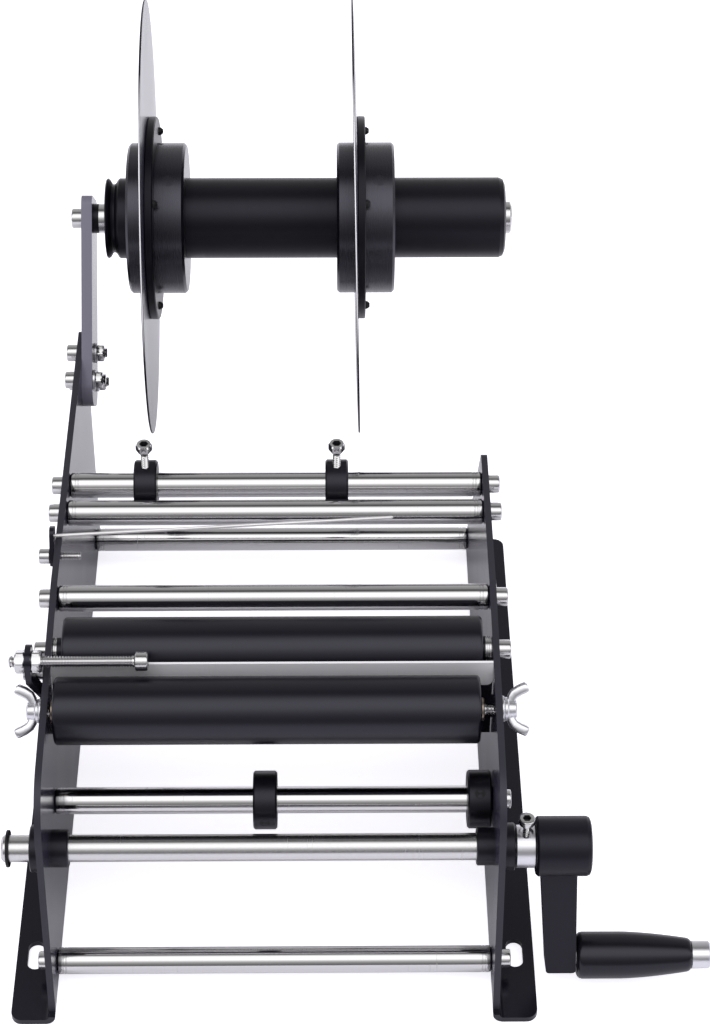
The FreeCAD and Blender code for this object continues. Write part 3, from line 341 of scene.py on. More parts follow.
# Painted reflection: a lighter lavender colour for the spool arm's narrow faces, standing in for what they
# reflect.
def bar_edge_reflection():
    return grained("Painted reflection on bar edge", finishes().bar_edge_reflection, 700.0, 0.2, 0.40, 0.1,
                   bump=0.4, specular=0.4, tint=COOL)


# The disc enamel takes a painted lavender reflection where it is seen edge on.
def disc_enamel():
    return grained("Disc enamel", finishes().enamel, 500.0, 0.1, 0.24, 0.05,
                   bump=0.2, specular=0.50, tint=COOL, grazing=finishes().grazing_reflection_paint)


def cast_enamel():
    return grained("Satin enamel on casting", finishes().enamel, 1400.0, 0.15, 0.36, 0.10,
                   bump=0.7, specular=0.32, tint=COOL)


def polished_steel():
    return turned("Polished stainless", finishes().steel, 1400.0, 0.10, 0.08, 0.25, bump=0.05, metallic=1.0)


def brushed_sheet():
    return turned("Brushed stainless sheet", (0.95, 0.94, 0.97), 900.0, 0.42, 0.12, 0.1,
                  bump=0.15, metallic=0.25)


def zinc_plate():
    return grained("Bright zinc", finishes().zinc, 1200.0, 0.12, 0.31, 0.12, bump=0.3, metallic=1.0)


def nickel_screw():
    return grained("Stainless screw", finishes().steel, 900.0, 0.1, 0.18, 0.08, bump=0.15, metallic=1.0)


# Painted light: the near-white colour paints the highlight on the disc rim where it faces the camera, and the
# dark grazing colour paints its shade where it is seen edge on.
def rim_highlight_and_shade():
    return grained("Disc rim painted highlight and shade", (0.84, 0.83, 0.86), 900.0, 0.15, 0.50, 0.1,
                   bump=0.2, specular=0.05, grazing=(0.012, 0.011, 0.014), span=(0.10, 0.25))


def spring_steel():
    return grained("Tempered spring steel", (0.30, 0.25, 0.21), 800.0, 0.3, 0.30, 0.1,
                   bump=0.2, metallic=1.0)


def roller_rubber():
    return grained("Ground roller rubber", finishes().rubber, 1800.0, 0.2, 0.29, 0.05,
                   bump=0.35, specular=0.58, tint=COOL)


def anodised_black():
    return turned("Black anodised aluminium", finishes().anodised, 1100.0, 0.36, 0.08, 0.02,
                  bump=0.2, specular=0.36, tint=COOL)


def anodised_hub():
    return turned("Bright anodised hub", finishes().anodised, 1300.0, 0.27, 0.04, 0.02,
                  bump=0.07, specular=1.0, tint=COOL)


def ground_shaft():
    return turned("Ground shaft", finishes().steel, 1100.0, 0.24, 0.12, 0.08, bump=0.08, metallic=1.0)


def bright_wire():
    return turned("Drawn wire", (0.86, 0.84, 0.85), 900.0, 0.35, 0.1, 0.2, bump=0.1, metallic=0.6)


def black_plastic():
    return grained("Black acetal", finishes().plastic, 1500.0, 0.15, 0.33, 0.08,
                   bump=0.4, specular=0.42, tint=COOL)


def grip_plastic():
    return grained("Moulded grip", finishes().plastic, 600.0, 0.1, 0.25, 0.05,
                   bump=0.2, specular=0.5, tint=COOL)


# Near-black steel: the real finish of the retaining ring and the ring screws; in the screws' sockets and on
# the collar patches it is painted shade.
def black_steel_and_socket_shade():
    return grained("Blackened steel and painted socket shade", (0.012, 0.012, 0.014), 900.0, 0.2, 0.50, 0.1, bump=0.3, specular=0.25)


# ------------------------------------------------------------------ mesh helpers

def dress(node, material, edge=None, cut=None, above=0.0):
    """Finish a CAD node: smooth shading, a broken edge, its material and that of its cut edges."""
    item = NODES[node]
    mesh = item.data
    mesh.materials.clear()
    mesh.materials.append(material)
    if cut:
        mesh.materials.append(cut)
        for face in mesh.polygons:
            face.material_index = int(abs(face.normal.x) < 0.5 and face.center.z > above)
    mesh.shade_smooth()
    mesh.set_sharp_from_angle(angle=math.radians(28))
    if edge:
        bevel = item.modifiers.new("Broken edge", "BEVEL")
        bevel.width = edge
        bevel.segments = 2
        bevel.limit_method = "ANGLE"
        bevel.angle_limit = math.radians(40)
        bevel.harden_normals = True


def solid_copy(node, box):
    """A fresh mesh of the one solid of a CAD node that fills a box."""
    build = bmesh.new()
    build.from_mesh(NODES[node].data)
    slack = 0.001 * MM
    strays = [vertex for vertex in build.verts
              if any(not box[0][axis] - slack < vertex.co[axis] < box[1][axis] + slack for axis in range(3))]
    bmesh.ops.delete(build, geom=strays, context="VERTS")
    return build


def finish_mesh(name, build, body, material, replaced=(), second=None, sharp=32):
    """Turn a bmesh into a piece that rides on a body, and let it stand for CAD nodes."""
    mesh = bpy.data.meshes.new(name)
    bmesh.ops.recalc_face_normals(build, faces=build.faces)
    build.to_mesh(mesh)
    build.free()
    mesh.materials.append(material)
    if second:
        mesh.materials.append(second)
    mesh.shade_smooth()
    mesh.set_sharp_from_angle(angle=math.radians(sharp))
    piece = bpy.data.objects.new(name, mesh)
    bpy.context.scene.collection.objects.link(piece)
    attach(piece, body)
    if replaced:
        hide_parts(*replaced)
    return piece


def add_rings(build, rings):
    """Skin a list of rings of points, all of one count; a ring of one point closes the skin."""
    made = [[build.verts.new(point) for point in ring] for ring in rings]
    for low, high in zip(made, made[1:]):
        count = max(len(low), len(high))
        for index in range(count):
            following = (index + 1) % count
            corners = [low[index % len(low)], low[following % len(low)],
                       high[following % len(high)], high[index % len(high)]]
            unique = list(dict.fromkeys(corners))
            if len(unique) > 2:
                build.faces.new(unique)
    return made


def ring_points(place, along, radius, count, shape=None):
    """Points round an axis at a distance along it; shape gives the radius for each angle."""
    if radius == 0 and shape is None:
        return [place @ Vector((along, 0, 0))]
    points = []
    for index in range(count):
        angle = TURN * index / count
        reach = shape(angle) if shape else radius
        points.append(place @ Vector((along, reach * math.cos(angle), reach * math.sin(angle))))
    return points


def frame_at(centre, direction):
    """A placement whose x axis points along a direction from a centre."""
    turn = Vector((1, 0, 0)).rotation_difference(Vector(direction).normalized())
    return Matrix.Translation(Vector(centre)) @ turn.to_matrix().to_4x4()


def measure(box):
    """Placement at the left end of a round part along x, its radius and its length."""
    low, high = box
    spot = middle(box)
    return frame_at((low.x, spot.y, spot.z), (1, 0, 0)), (high.z - low.z) / 2, high.x - low.x


def turn_solid(build, place, outline, count=64):
    """A solid of revolution from distances along and out from the axis."""
    add_rings(build, [ring_points(place, along, radius, count) for along, radius in outline])


def hex_radius(flats, corner=None):
    """Radius of a hexagon for an angle, cut back to its chamfer circle."""
    def radius(angle):
        sector = (angle + math.pi / 6) % (math.pi / 3) - math.pi / 6
        reach = flats / 2 / math.cos(sector)
        return min(reach, corner) if corner else reach
    return radius


def islands(node):
    """Lowest and highest corner of each separate solid in a CAD node."""
    mesh = NODES[node].data
    parent = {}

    def root(key):
        while parent[key] != key:
            parent[key] = parent[parent[key]]
            key = parent[key]
        return key

    spots = []
    for vertex in mesh.vertices:
        spot = tuple(round(part * 1e6) for part in vertex.co)
        parent.setdefault(spot, spot)
        spots.append(spot)
    for face in mesh.polygons:
        first = root(spots[face.vertices[0]])
        for corner in face.vertices[1:]:
            parent[root(spots[corner])] = first
    groups = {}
    for spot in parent:
        groups.setdefault(root(spot), []).append(Vector(spot) * 1e-6)
    found = []
    for points in groups.values():
        low = Vector([min(point[axis] for point in points) for axis in range(3)])
        high = Vector([max(point[axis] for point in points) for axis in range(3)])
        found.append((low, high))
    return sorted(found, key=lambda box: tuple(round(part, 5) for part in box[0]))


def middle(box):
    """Centre of a box."""
    return (box[0] + box[1]) / 2


def add_plug(build, box, along, angle, radius, reach):
    """A round plug in a cylinder along x; the angle is from overhead to the front."""
    spot = middle(box)
    count = 40

    def on_cylinder(height, across, around):
        turn = angle + around / radius
        return Vector((along + across, spot.y - height * math.sin(turn), spot.z + height * math.cos(turn)))
    rings = []
    for height, share in ((radius - MM, 0), (radius - MM, 1), (radius, 1), (radius, 0)):
        around = range(count if share else 1)
        rings.append([on_cylinder(height, reach * share * math.cos(TURN * step / count),
                                  reach * share * math.sin(TURN * step / count)) for step in around])
    add_rings(build, rings)


def add_slab(build, outline, front, rear):
    """A flat slab between two y values, from an outline of x and z."""
    near = [build.verts.new((x, front, z)) for x, z in outline]
    far = [build.verts.new((x, rear, z)) for x, z in outline]
    build.faces.new(near)
    build.faces.new(far)
    for index in range(len(outline)):
        following = (index + 1) % len(outline)
        build.faces.new([near[index], near[following], far[following], far[index]])


# ------------------------------------------------------------------ fasteners

def add_thread(build, place, start, end, radius, tip, count=28):
    """A threaded shank with a real helix from start to end along the axis and a pointed tip."""
    pitch = hardware().thread_pitch
    depth = hardware().thread_depth
    steps = max(2, int(round((end - start) / pitch * 6)))
    rings = []
    for step in range(steps + 1):
        along = start + (end - start) * step / steps
        fade = min(1.0, (along - start) / pitch, (end - along) / pitch + 0.3)

        def crest(angle, along=along, fade=fade):
            phase = (along / pitch - angle / TURN) % 1.0
            return radius - depth * fade * (1 - abs(2 * phase - 1))
        rings.append(ring_points(place, along, radius, count, crest))
    rings.append(ring_points(place, end + tip, radius * 0.75, count))
    rings.append(ring_points(place, end + tip, 0, count))
    add_rings(build, rings)


def add_screw(build, box, way, height, shank, socket, thread, start, tip, cone=0.0, flats=0.0):
    """A socket screw that fills a box; way points from its head to its tip."""
    low, high = box
    length = high.x - low.x if way[0] else high.z - low.z
    radius = (high.y - low.y) / 2 if way[0] else max(high.x - low.x, high.y - low.y) / 2
    place = frame_at(middle(box) - Vector(way) * (length / 2 - height), way)
    add_cap_head(build, place, radius, height, shank, socket, cone, flats * 2 * radius)
    add_thread(build, place, start, length - height - tip, thread, tip)


def add_cap_head(build, place, radius, height, shank, socket, cone, flats):
    """A socket head with its bearing face at x = 0 and its top at -x, round or with flats."""
    count = 96
    side = radius * 0.12

    def round_ring(along, reach):
        return ring_points(place, along, reach, count)

    def body_ring(along):
        if flats:
            return ring_points(place, along, 0, count, hex_radius(flats, radius * 0.985))
        return round_ring(along, radius)
    rings = [round_ring(0, shank)]
    if cone:
        rings.append(round_ring(-cone, radius - side * (2.2 if flats else 1.0)))
        rings.append(body_ring(-cone - side * 0.8))
    else:
        rings.append(round_ring(0, radius - side * 0.5))
        rings.append(body_ring(-side * 0.5))
    rings.append(body_ring(-height + side * 1.6))
    if not flats:
        rings.append(round_ring(-height + side * 0.75, radius - side * 0.22))
        rings.append(round_ring(-height + side * 0.22, radius - side * 0.75))
    rings.append(round_ring(-height, radius - side * 1.6))
    mouth = hex_radius(socket * 1.12)
    bore = hex_radius(socket)
    deep = height * hardware().socket_depth
    rings.append(ring_points(place, -height, 0, count, mouth))
    add_rings(build, rings)
    # Painted shade: the socket's inner faces take the second, near-black material, standing in for the shade
    # in the recess.
    outside = len(build.faces)
    add_rings(build, [rings[-1], ring_points(place, -height + radius * 0.1, 0, count, bore),
                      ring_points(place, -height + deep, 0, count, bore),
                      ring_points(place, -height + deep * 1.25, 0, count)])
    build.faces.ensure_lookup_table()
    for face in build.faces[outside:]:
        face.material_index = 1


def make_screw(name, node, box, *sizes, **head):
    """A screw as a piece of its own, in place of a CAD node."""
    build = bmesh.new()
    add_screw(build, box, *sizes, **head)
    finish_mesh(name, build, BODY_OF[node], nickel_screw(), [node], black_steel_and_socket_shade())


def add_nut(build, place, flats, bore, height):
    """A chamfered hexagon nut from x = 0 to its height."""
    count = 96
    corner = flats / 2 * 1.12
    shape = hex_radius(flats, corner)
    face = flats / 2 * 0.97
    bevel = height * 0.16
    turn_in = bore + 0.25 * MM
    rings = [ring_points(place, bevel * 0.4, bore, count), ring_points(place, 0, turn_in, count),
             ring_points(place, 0, face, count), ring_points(place, bevel, 0, count, shape),
             ring_points(place, height - bevel, 0, count, shape), ring_points(place, height, face, count),
             ring_points(place, height, turn_in, count),
             ring_points(place, height - bevel * 0.4, bore, count)]
    rings.append(rings[0])
    add_rings(build, rings)


class LABELLER_OT_cap_screws(bpy.types.Operator):
    """Make the socket cap screws at the rod ends and on the spool arm"""
    bl_idname = "labeller.cap_screws"
    bl_label = "Cap screws"

    def execute(self, context):
        build = bmesh.new()
        centre = middle(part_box("guide_rod")).x
        height = 5.6 * MM
        for box in islands("frame_cap_screws"):
            side = 1 if middle(box).x > centre else -1
            reach = box[1].x - box[0].x - height
            add_screw(build, box, (-side, 0, 0), height, 2.4 * MM, 4.0 * MM, 2.5 * MM,
                      min(1.2 * MM, reach * 0.2), 0.5 * MM)
        finish_mesh("cap_screws", build, "frame", nickel_screw(), ["frame_cap_screws"], black_steel_and_socket_shade())
        return {"FINISHED"}


class LABELLER_OT_washers(bpy.types.Operator):
    """Make the plain washers under the spool arm's nuts"""
    bl_idname = "labeller.washers"
    bl_label = "Washers"

    def execute(self, context):
        build = bmesh.new()
        bore = 2.6 * MM
        edge = 0.15 * MM
        for box in islands("frame_washers"):
            place, outer, height = measure(box)
            turn_solid(build, place, [(0, bore), (0, outer - edge), (edge, outer), (height - edge, outer),
                                      (height, outer - edge), (height, bore), (0, bore)])
        finish_mesh("plain_washers", build, "frame", zinc_plate(), ["frame_washers"])
        return {"FINISHED"}


class LABELLER_OT_nuts(bpy.types.Operator):
    """Make the hexagon nuts on the spool arm and the edge stop"""
    bl_idname = "labeller.nuts"
    bl_label = "Hexagon nuts"

    def execute(self, context):
        build = bmesh.new()
        for low, high in islands("frame_nuts"):
            place, _, height = measure((low, high))
            add_nut(build, place, min(high.y - low.y, high.z - low.z), 2.55 * MM, height)
        finish_mesh("hexagon_nuts", build, "frame", nickel_screw(), ["frame_nuts"])
        return {"FINISHED"}


class LABELLER_OT_edge_stop(bpy.types.Operator):
    """Make the long threaded edge stop"""
    bl_idname = "labeller.edge_stop"
    bl_label = "Edge stop screw"

    def execute(self, context):
        make_screw("edge_stop", "edge_stop_screw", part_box("edge_stop_screw"), (-1, 0, 0),
                   5.5 * MM, 2.5 * MM, 4.0 * MM, 2.65 * MM, 0.4 * MM, 0.6 * MM)
        return {"FINISHED"}


class LABELLER_OT_thumb_screws(bpy.types.Operator):
    """Make the upright screws that lock the guide collars"""
    bl_idname = "labeller.thumb_screws"
    bl_label = "Collar screws"

    def execute(self, context):
        for side in ("left", "right"):
            node = f"{side}_guide_thumb_screw"
            make_screw(f"{side}_collar_screw", node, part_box(node), (0, 0, -1), 5.8 * MM, 1.8 * MM, 3.4 * MM,
                       1.9 * MM, 0.1 * MM, 0.5 * MM, cone=1.8 * MM, flats=0.866)
        return {"FINISHED"}


# ------------------------------------------------------------------ machine

class LABELLER_OT_side_plates(bpy.types.Operator):
    """Finish the bent side plates, the spool arm and the stop bracket"""
    bl_idname = "labeller.side_plates"
    bl_label = "Side plates"

    def execute(self, context):
        for node in ("left_side_plate", "right_side_plate"):
            dress(node, gloss_enamel(), hardware().edge_round, cut_edge(), 6.0 * MM)
        # The spool arm's narrow faces take the painted reflection colour.
        dress("spool_arm", gloss_enamel(), hardware().edge_round * 2, bar_edge_reflection())
        dress("stop_bracket", gloss_enamel(), hardware().edge_round)
        return {"FINISHED"}


class LABELLER_OT_rods(bpy.types.Operator):
    """Make the polished rods with their chamfered ends"""
    bl_idname = "labeller.rods"
    bl_label = "Rods"

    def execute(self, context):
        chamfer = 0.9 * MM
        groove = 0.25 * MM
        for node in ("guide_rod", "turn_rod", "feed_rod", "waste_rod", "tie_rods"):
            build = bmesh.new()
            for box in islands(node):
                place, radius, length = measure(box)
                left = [(0, 0), (0, radius - chamfer), (chamfer * 0.8, radius - 0.05 * MM), (chamfer, radius)]
                for start in (2.6 * MM, 3.9 * MM):
                    left += [(start, radius), (start + 0.12 * MM, radius - groove),
                             (start + 0.42 * MM, radius - groove), (start + 0.54 * MM, radius)]
                right = [(length - along, reach) for along, reach in reversed(left)]
                turn_solid(build, place, left + right, 96)
            finish_mesh(f"{node}_bar", build, "frame", polished_steel(), [node])
        return {"FINISHED"}


class LABELLER_OT_peel_plate(bpy.types.Operator):
    """Make the bright blade of the peel plate and, below it, the rest of the sheet in dark enamel as a
    painted dark reflection of the lower roller
    """
    bl_idname = "labeller.peel_plate"
    bl_label = "Peel plate"

    def execute(self, context):
        low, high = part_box("peel_plate")
        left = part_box("left_side_plate")[1].x + 0.3 * MM
        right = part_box("right_side_plate")[0].x - 0.3 * MM
        seam = high.z - 14.0 * MM
        corner = 3.0 * MM
        blade = bmesh.new()
        outline = [(left, high.z), (right, high.z)]
        for centre, start in ((right - corner, 0.0), (left + corner, -0.25)):
            for step in range(7):
                angle = TURN * (start - 0.25 * step / 6)
                outline.append((centre + corner * math.cos(angle), seam + corner + corner * math.sin(angle)))
        add_slab(blade, outline, low.y, high.y)
        finish_mesh("peel_blade", blade, "frame", brushed_sheet(), ["peel_plate"])
        # Painted reflection: the lower part of the sheet is dark enamel, standing in for the dark reflection
        # of the lower roller in the polished sheet.
        dark_reflection_sheet = bmesh.new()
        tab_low = low.z + 10.0 * MM
        tab_high = tab_low + 14.0 * MM
        add_slab(dark_reflection_sheet, [(left, low.z), (right, low.z), (right, tab_low), (high.x, tab_low),
                          (high.x, tab_high), (right, tab_high), (right, seam + corner),
                          (left, seam + corner), (left, tab_high), (low.x, tab_high), (low.x, tab_low),
                          (left, tab_low)], low.y + 0.15 * MM, high.y - 0.15 * MM)
        finish_mesh("peel_holder", dark_reflection_sheet, "frame", gloss_enamel(), ["peel_plate"])
        return {"FINISHED"}


class LABELLER_OT_rollers(bpy.types.Operator):
    """Make the ground rubber covers and finish what is inside the rollers"""
    bl_idname = "labeller.rollers"
    bl_label = "Web rollers"

    def execute(self, context):
        edge = 1.6 * MM
        for name in ("upper", "lower"):
            node = f"{name}_roller_cover"
            inner = measure(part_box(f"{name}_roller_core"))[1]
            place, radius, length = measure(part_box(node))
            outline = [(0.25 * MM, inner + 0.1 * MM), (0, inner + 0.6 * MM)]
            for step in reversed(range(6)):
                angle = math.pi / 2 * step / 5
                outline.append((edge * (1 - math.sin(angle)), radius - edge * (1 - math.cos(angle))))
            right = [(length - along, reach) for along, reach in reversed(outline)]
            build = bmesh.new()
            turn_solid(build, place, outline + right + [outline[0]], 128)
            finish_mesh(f"{name}_cover", build, BODY_OF[node], roller_rubber(), [node])
            dress(f"{name}_roller_core", anodised_black())
            dress(f"{name}_roller_bushes", black_plastic())
        dress("lower_roller_spacers", spring_steel(), 0.2 * MM)
        dress("upper_roller_axle", nickel_screw())
        self.make_upper_spacers()
        self.make_lower_axle()
        return {"FINISHED"}

    def make_upper_spacers(self):
        """Each spacer is a black ring next to the roller and a grooved steel ring next to the plate."""
        black = bmesh.new()
        steel = bmesh.new()
        bore = 4.04 * MM
        groove = 0.5 * MM
        for number, (low, high) in enumerate(islands("upper_roller_spacers")):
            spot = middle((low, high))
            radius = (high.z - low.z) / 2
            length = high.x - low.x
            way = -1 if number == 0 else 1
            start = high.x if number == 0 else low.x
            place = frame_at((start, spot.y, spot.z), (way, 0, 0))
            share = length * (0.62 if number == 0 else 0.30)
            turn_solid(black, place, [(0, bore), (0, radius - 0.4 * MM), (0.3 * MM, radius),
                                      (share, radius), (share, bore), (0, bore)])
            outline = [(share, bore), (share, radius)]
            along = share + 0.35 * MM
            while along < length - 0.6 * MM:
                outline += [(along, radius), (along + 0.15 * MM, radius - groove),
                            (along + 0.35 * MM, radius - groove), (along + 0.5 * MM, radius)]
                along += 0.95 * MM
            outline += [(length - 0.2 * MM, radius), (length, radius - 0.2 * MM), (length, bore),
                        (share, bore)]
            turn_solid(steel, place, outline)
        finish_mesh("upper_spacer_rings", black, "frame", black_plastic(), ["upper_roller_spacers"])
        finish_mesh("upper_spacer_sleeves", steel, "frame", nickel_screw(), ["upper_roller_spacers"])

    def make_lower_axle(self):
        """A plain axle between two threaded studs."""
        low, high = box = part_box("lower_roller_axle")
        spacers = islands("lower_roller_spacers")
        spot = middle(box)
        radius = (high.z - low.z) / 2
        start = spacers[0][0].x
        end = spacers[-1][1].x
        build = bmesh.new()
        place = frame_at((start, spot.y, spot.z), (1, 0, 0))
        turn_solid(build, place, [(0, 0), (0, radius), (end - start, radius), (end - start, 0)])
        for root, way, reach in ((start, -1, start - low.x), (end, 1, high.x - end)):
            stud = frame_at((root, spot.y, spot.z), (way, 0, 0))
            add_thread(build, stud, 0.05 * MM, reach - 0.4 * MM, 2.5 * MM, 0.4 * MM)
        finish_mesh("lower_axle_bar", build, BODY_OF["lower_roller_axle"], nickel_screw(),
                    ["lower_roller_axle"])


class LABELLER_OT_wing_nuts(bpy.types.Operator):
    """Make the cast wing nuts that clamp the lower roller"""
    bl_idname = "labeller.wing_nuts"
    bl_label = "Wing nuts"

    def execute(self, context):
        lean = Matrix.Rotation(-hardware().wing_lean, 4, "X")
        bore = 2.55 * MM
        for side, way in (("left", -1), ("right", 1)):
            node = f"{side}_wing_nut"
            low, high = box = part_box(node)
            spot = middle(box)
            start = high.x if way < 0 else low.x
            place = Matrix.Translation((start, spot.y, spot.z)) @ lean @ Matrix.Scale(way, 4, (1, 0, 0))
            build = bmesh.new()
            turn_solid(build, place, [
                (0, bore), (0, 5.0 * MM), (0.3 * MM, 5.3 * MM), (1.3 * MM, 5.25 * MM), (1.9 * MM, 4.7 * MM),
                (4.8 * MM, 4.2 * MM), (5.4 * MM, 3.6 * MM), (5.4 * MM, bore), (0, bore)], 48)
            for up in (1, -1):
                self.add_wing(build, place, up)
            finish_mesh(f"{side}_wing_screw", build, BODY_OF[node], zinc_plate(), [node])
        dress("wing_nut_washers", zinc_plate(), 0.15 * MM)
        return {"FINISHED"}

    def add_wing(self, build, place, up):
        """One wing: a rounded slab along a line that flares outward and widens to its tip."""
        # millimetres outward, away from the axis, half thickness and width
        path = [(2.5, 3.0, 1.7, 5.4), (3.1, 5.0, 2.0, 5.8), (4.2, 6.7, 2.2, 6.4), (6.4, 8.2, 2.3, 6.9),
                (8.6, 9.2, 2.3, 7.0), (9.7, 9.7, 2.2, 6.9), (10.2, 9.9, 1.7, 6.2)]
        squareness = 0.45
        count = 20
        rings = []
        for index, (along, reach, thick, wide) in enumerate(path):
            before = Vector(path[max(0, index - 1)][:2])
            after = Vector(path[min(len(path) - 1, index + 1)][:2])
            heading = (after - before).normalized()
            normal = Vector((-heading.y, heading.x))
            ring = []
            for step in range(count):
                angle = TURN * step / count
                across = math.copysign(abs(math.cos(angle)) ** squareness, math.cos(angle)) * thick
                side = math.copysign(abs(math.sin(angle)) ** squareness, math.sin(angle)) * wide / 2
                point = Vector((along, reach)) + normal * across
                ring.append(place @ Vector((point.x * MM, side * MM, up * point.y * MM)))
            rings.append(ring)
        made = add_rings(build, rings)
        build.faces.new(made[0])
        build.faces.new(made[-1])


class LABELLER_OT_crank(bpy.types.Operator):
    """Finish the crank: shaft, bushings, collar, arm and turning grip"""
    bl_idname = "labeller.crank"
    bl_label = "Crank"

    def execute(self, context):
        self.make_shaft()
        dress("shaft_retaining_ring", black_steel_and_socket_shade(), 0.1 * MM)
        dress("shaft_bushings", black_plastic(), 0.3 * MM)
        self.make_collar()
        dress("crank_arm", cast_enamel(), 0.9 * MM)
        self.make_grip()
        dress("grip_spindle", zinc_plate(), 0.4 * MM)
        return {"FINISHED"}

    def make_shaft(self):
        place, radius, length = measure(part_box("crank_shaft"))
        build = bmesh.new()
        turn_solid(build, place, [
            (0.6 * MM, 0), (0.6 * MM, 1.2 * MM), (0, 1.6 * MM), (0, radius - 1.0 * MM),
            (1.0 * MM, radius), (length, radius), (length, 0)], 96)
        finish_mesh("crank_shaft_bar", build, "crank", ground_shaft(), ["crank_shaft"])

    def make_collar(self):
        """The set collar and the socket screw that stands in the well in its rim."""
        ring, stud = sorted(islands("shaft_collar"), key=lambda box: box[0].x - box[1].x)
        finish_mesh("shaft_set_collar", solid_copy("shaft_collar", ring), "crank", zinc_plate(),
                    ["shaft_collar"])
        make_screw("shaft_collar_screw", "shaft_collar", stud, (0, 0, -1), 4.6 * MM, 1.5 * MM, 3.0 * MM,
                   1.5 * MM, 0.1 * MM, 0.4 * MM, cone=1.4 * MM)

    def make_grip(self):
        place, base, length = measure(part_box("crank_grip"))
        tip = 7.6 * MM
        bore = 4.05 * MM
        outline = [(0, bore), (0, base - 2.4 * MM), (0.5 * MM, base - 1.1 * MM), (1.4 * MM, base - 0.3 * MM),
                   (2.6 * MM, base)]
        straight = length * 0.38
        steps = 12
        for step in range(steps + 1):
            share = step / steps
            along = straight + (length - 2.0 * MM - straight) * share
            outline.append((along, base - (base - tip) * share ** 1.55))
        outline += [(length - 1.0 * MM, tip - 0.35 * MM), (length - 0.3 * MM, tip - 0.9 * MM),
                    (length, tip - 1.7 * MM), (length, bore)]
        build = bmesh.new()
        turn_solid(build, place, outline + [outline[0]], 96)
        finish_mesh("turning_grip", build, "crank_grip", grip_plastic(), ["crank_grip"])


class LABELLER_OT_collars(bpy.types.Operator):
    """Finish the collars on the guide rod and the waste rod"""
    bl_idname = "labeller.collars"
    bl_label = "Collars"

    def execute(self, context):
        for node in ("left_guide_collar", "right_guide_collar", "left_waste_collar", "right_waste_collar"):
            dress(node, black_plastic(), 0.5 * MM)
        for side, degrees in (("left", 92), ("right", 31)):
            node = f"{side}_waste_collar"
            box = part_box(node)
            radius = measure(box)[1]
            # Painted shade: the second patch is a flat dark disc on the collar where the set-screw hole is,
            # standing in for the screw and the shade in the hole.
            for kind, angle, proud, reach, material in (
                    ("plug", 0.0, 0.015 * MM, 2.9 * MM, black_plastic()),
                    ("painted_hole_shade", math.radians(degrees), 0.02 * MM, 2.3 * MM, black_steel_and_socket_shade())):
                build = bmesh.new()
                add_plug(build, box, middle(box).x, angle, radius + proud, reach)
                finish_mesh(f"{side}_collar_{kind}", build, BODY_OF[node], material)
        return {"FINISHED"}


class LABELLER_OT_pointer(bpy.types.Operator):
    """Finish the label pointer: lever, wire and screw"""
    bl_idname = "labeller.pointer"
    bl_label = "Label pointer"

    def execute(self, context):
        dress("pointer_lever", gloss_enamel(), 0.3 * MM)
        dress("pointer_wire", bright_wire())
        make_screw("pointer_pivot", "pointer_screw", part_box("pointer_screw"), (1, 0, 0),
                   4.9 * MM, 1.9 * MM, 3.0 * MM, 2.0 * MM, 0.5 * MM, 0.5 * MM)
        return {"FINISHED"}


class LABELLER_OT_bracket_fixings(bpy.types.Operator):
    """Finish the screw and spacer that hold the stop bracket"""
    bl_idname = "labeller.bracket_fixings"
    bl_label = "Bracket fixings"

    def execute(self, context):
        dress("bracket_spacer", zinc_plate(), 0.15 * MM)
        dress("bracket_screw", zinc_plate(), 0.2 * MM)
        return {"FINISHED"}


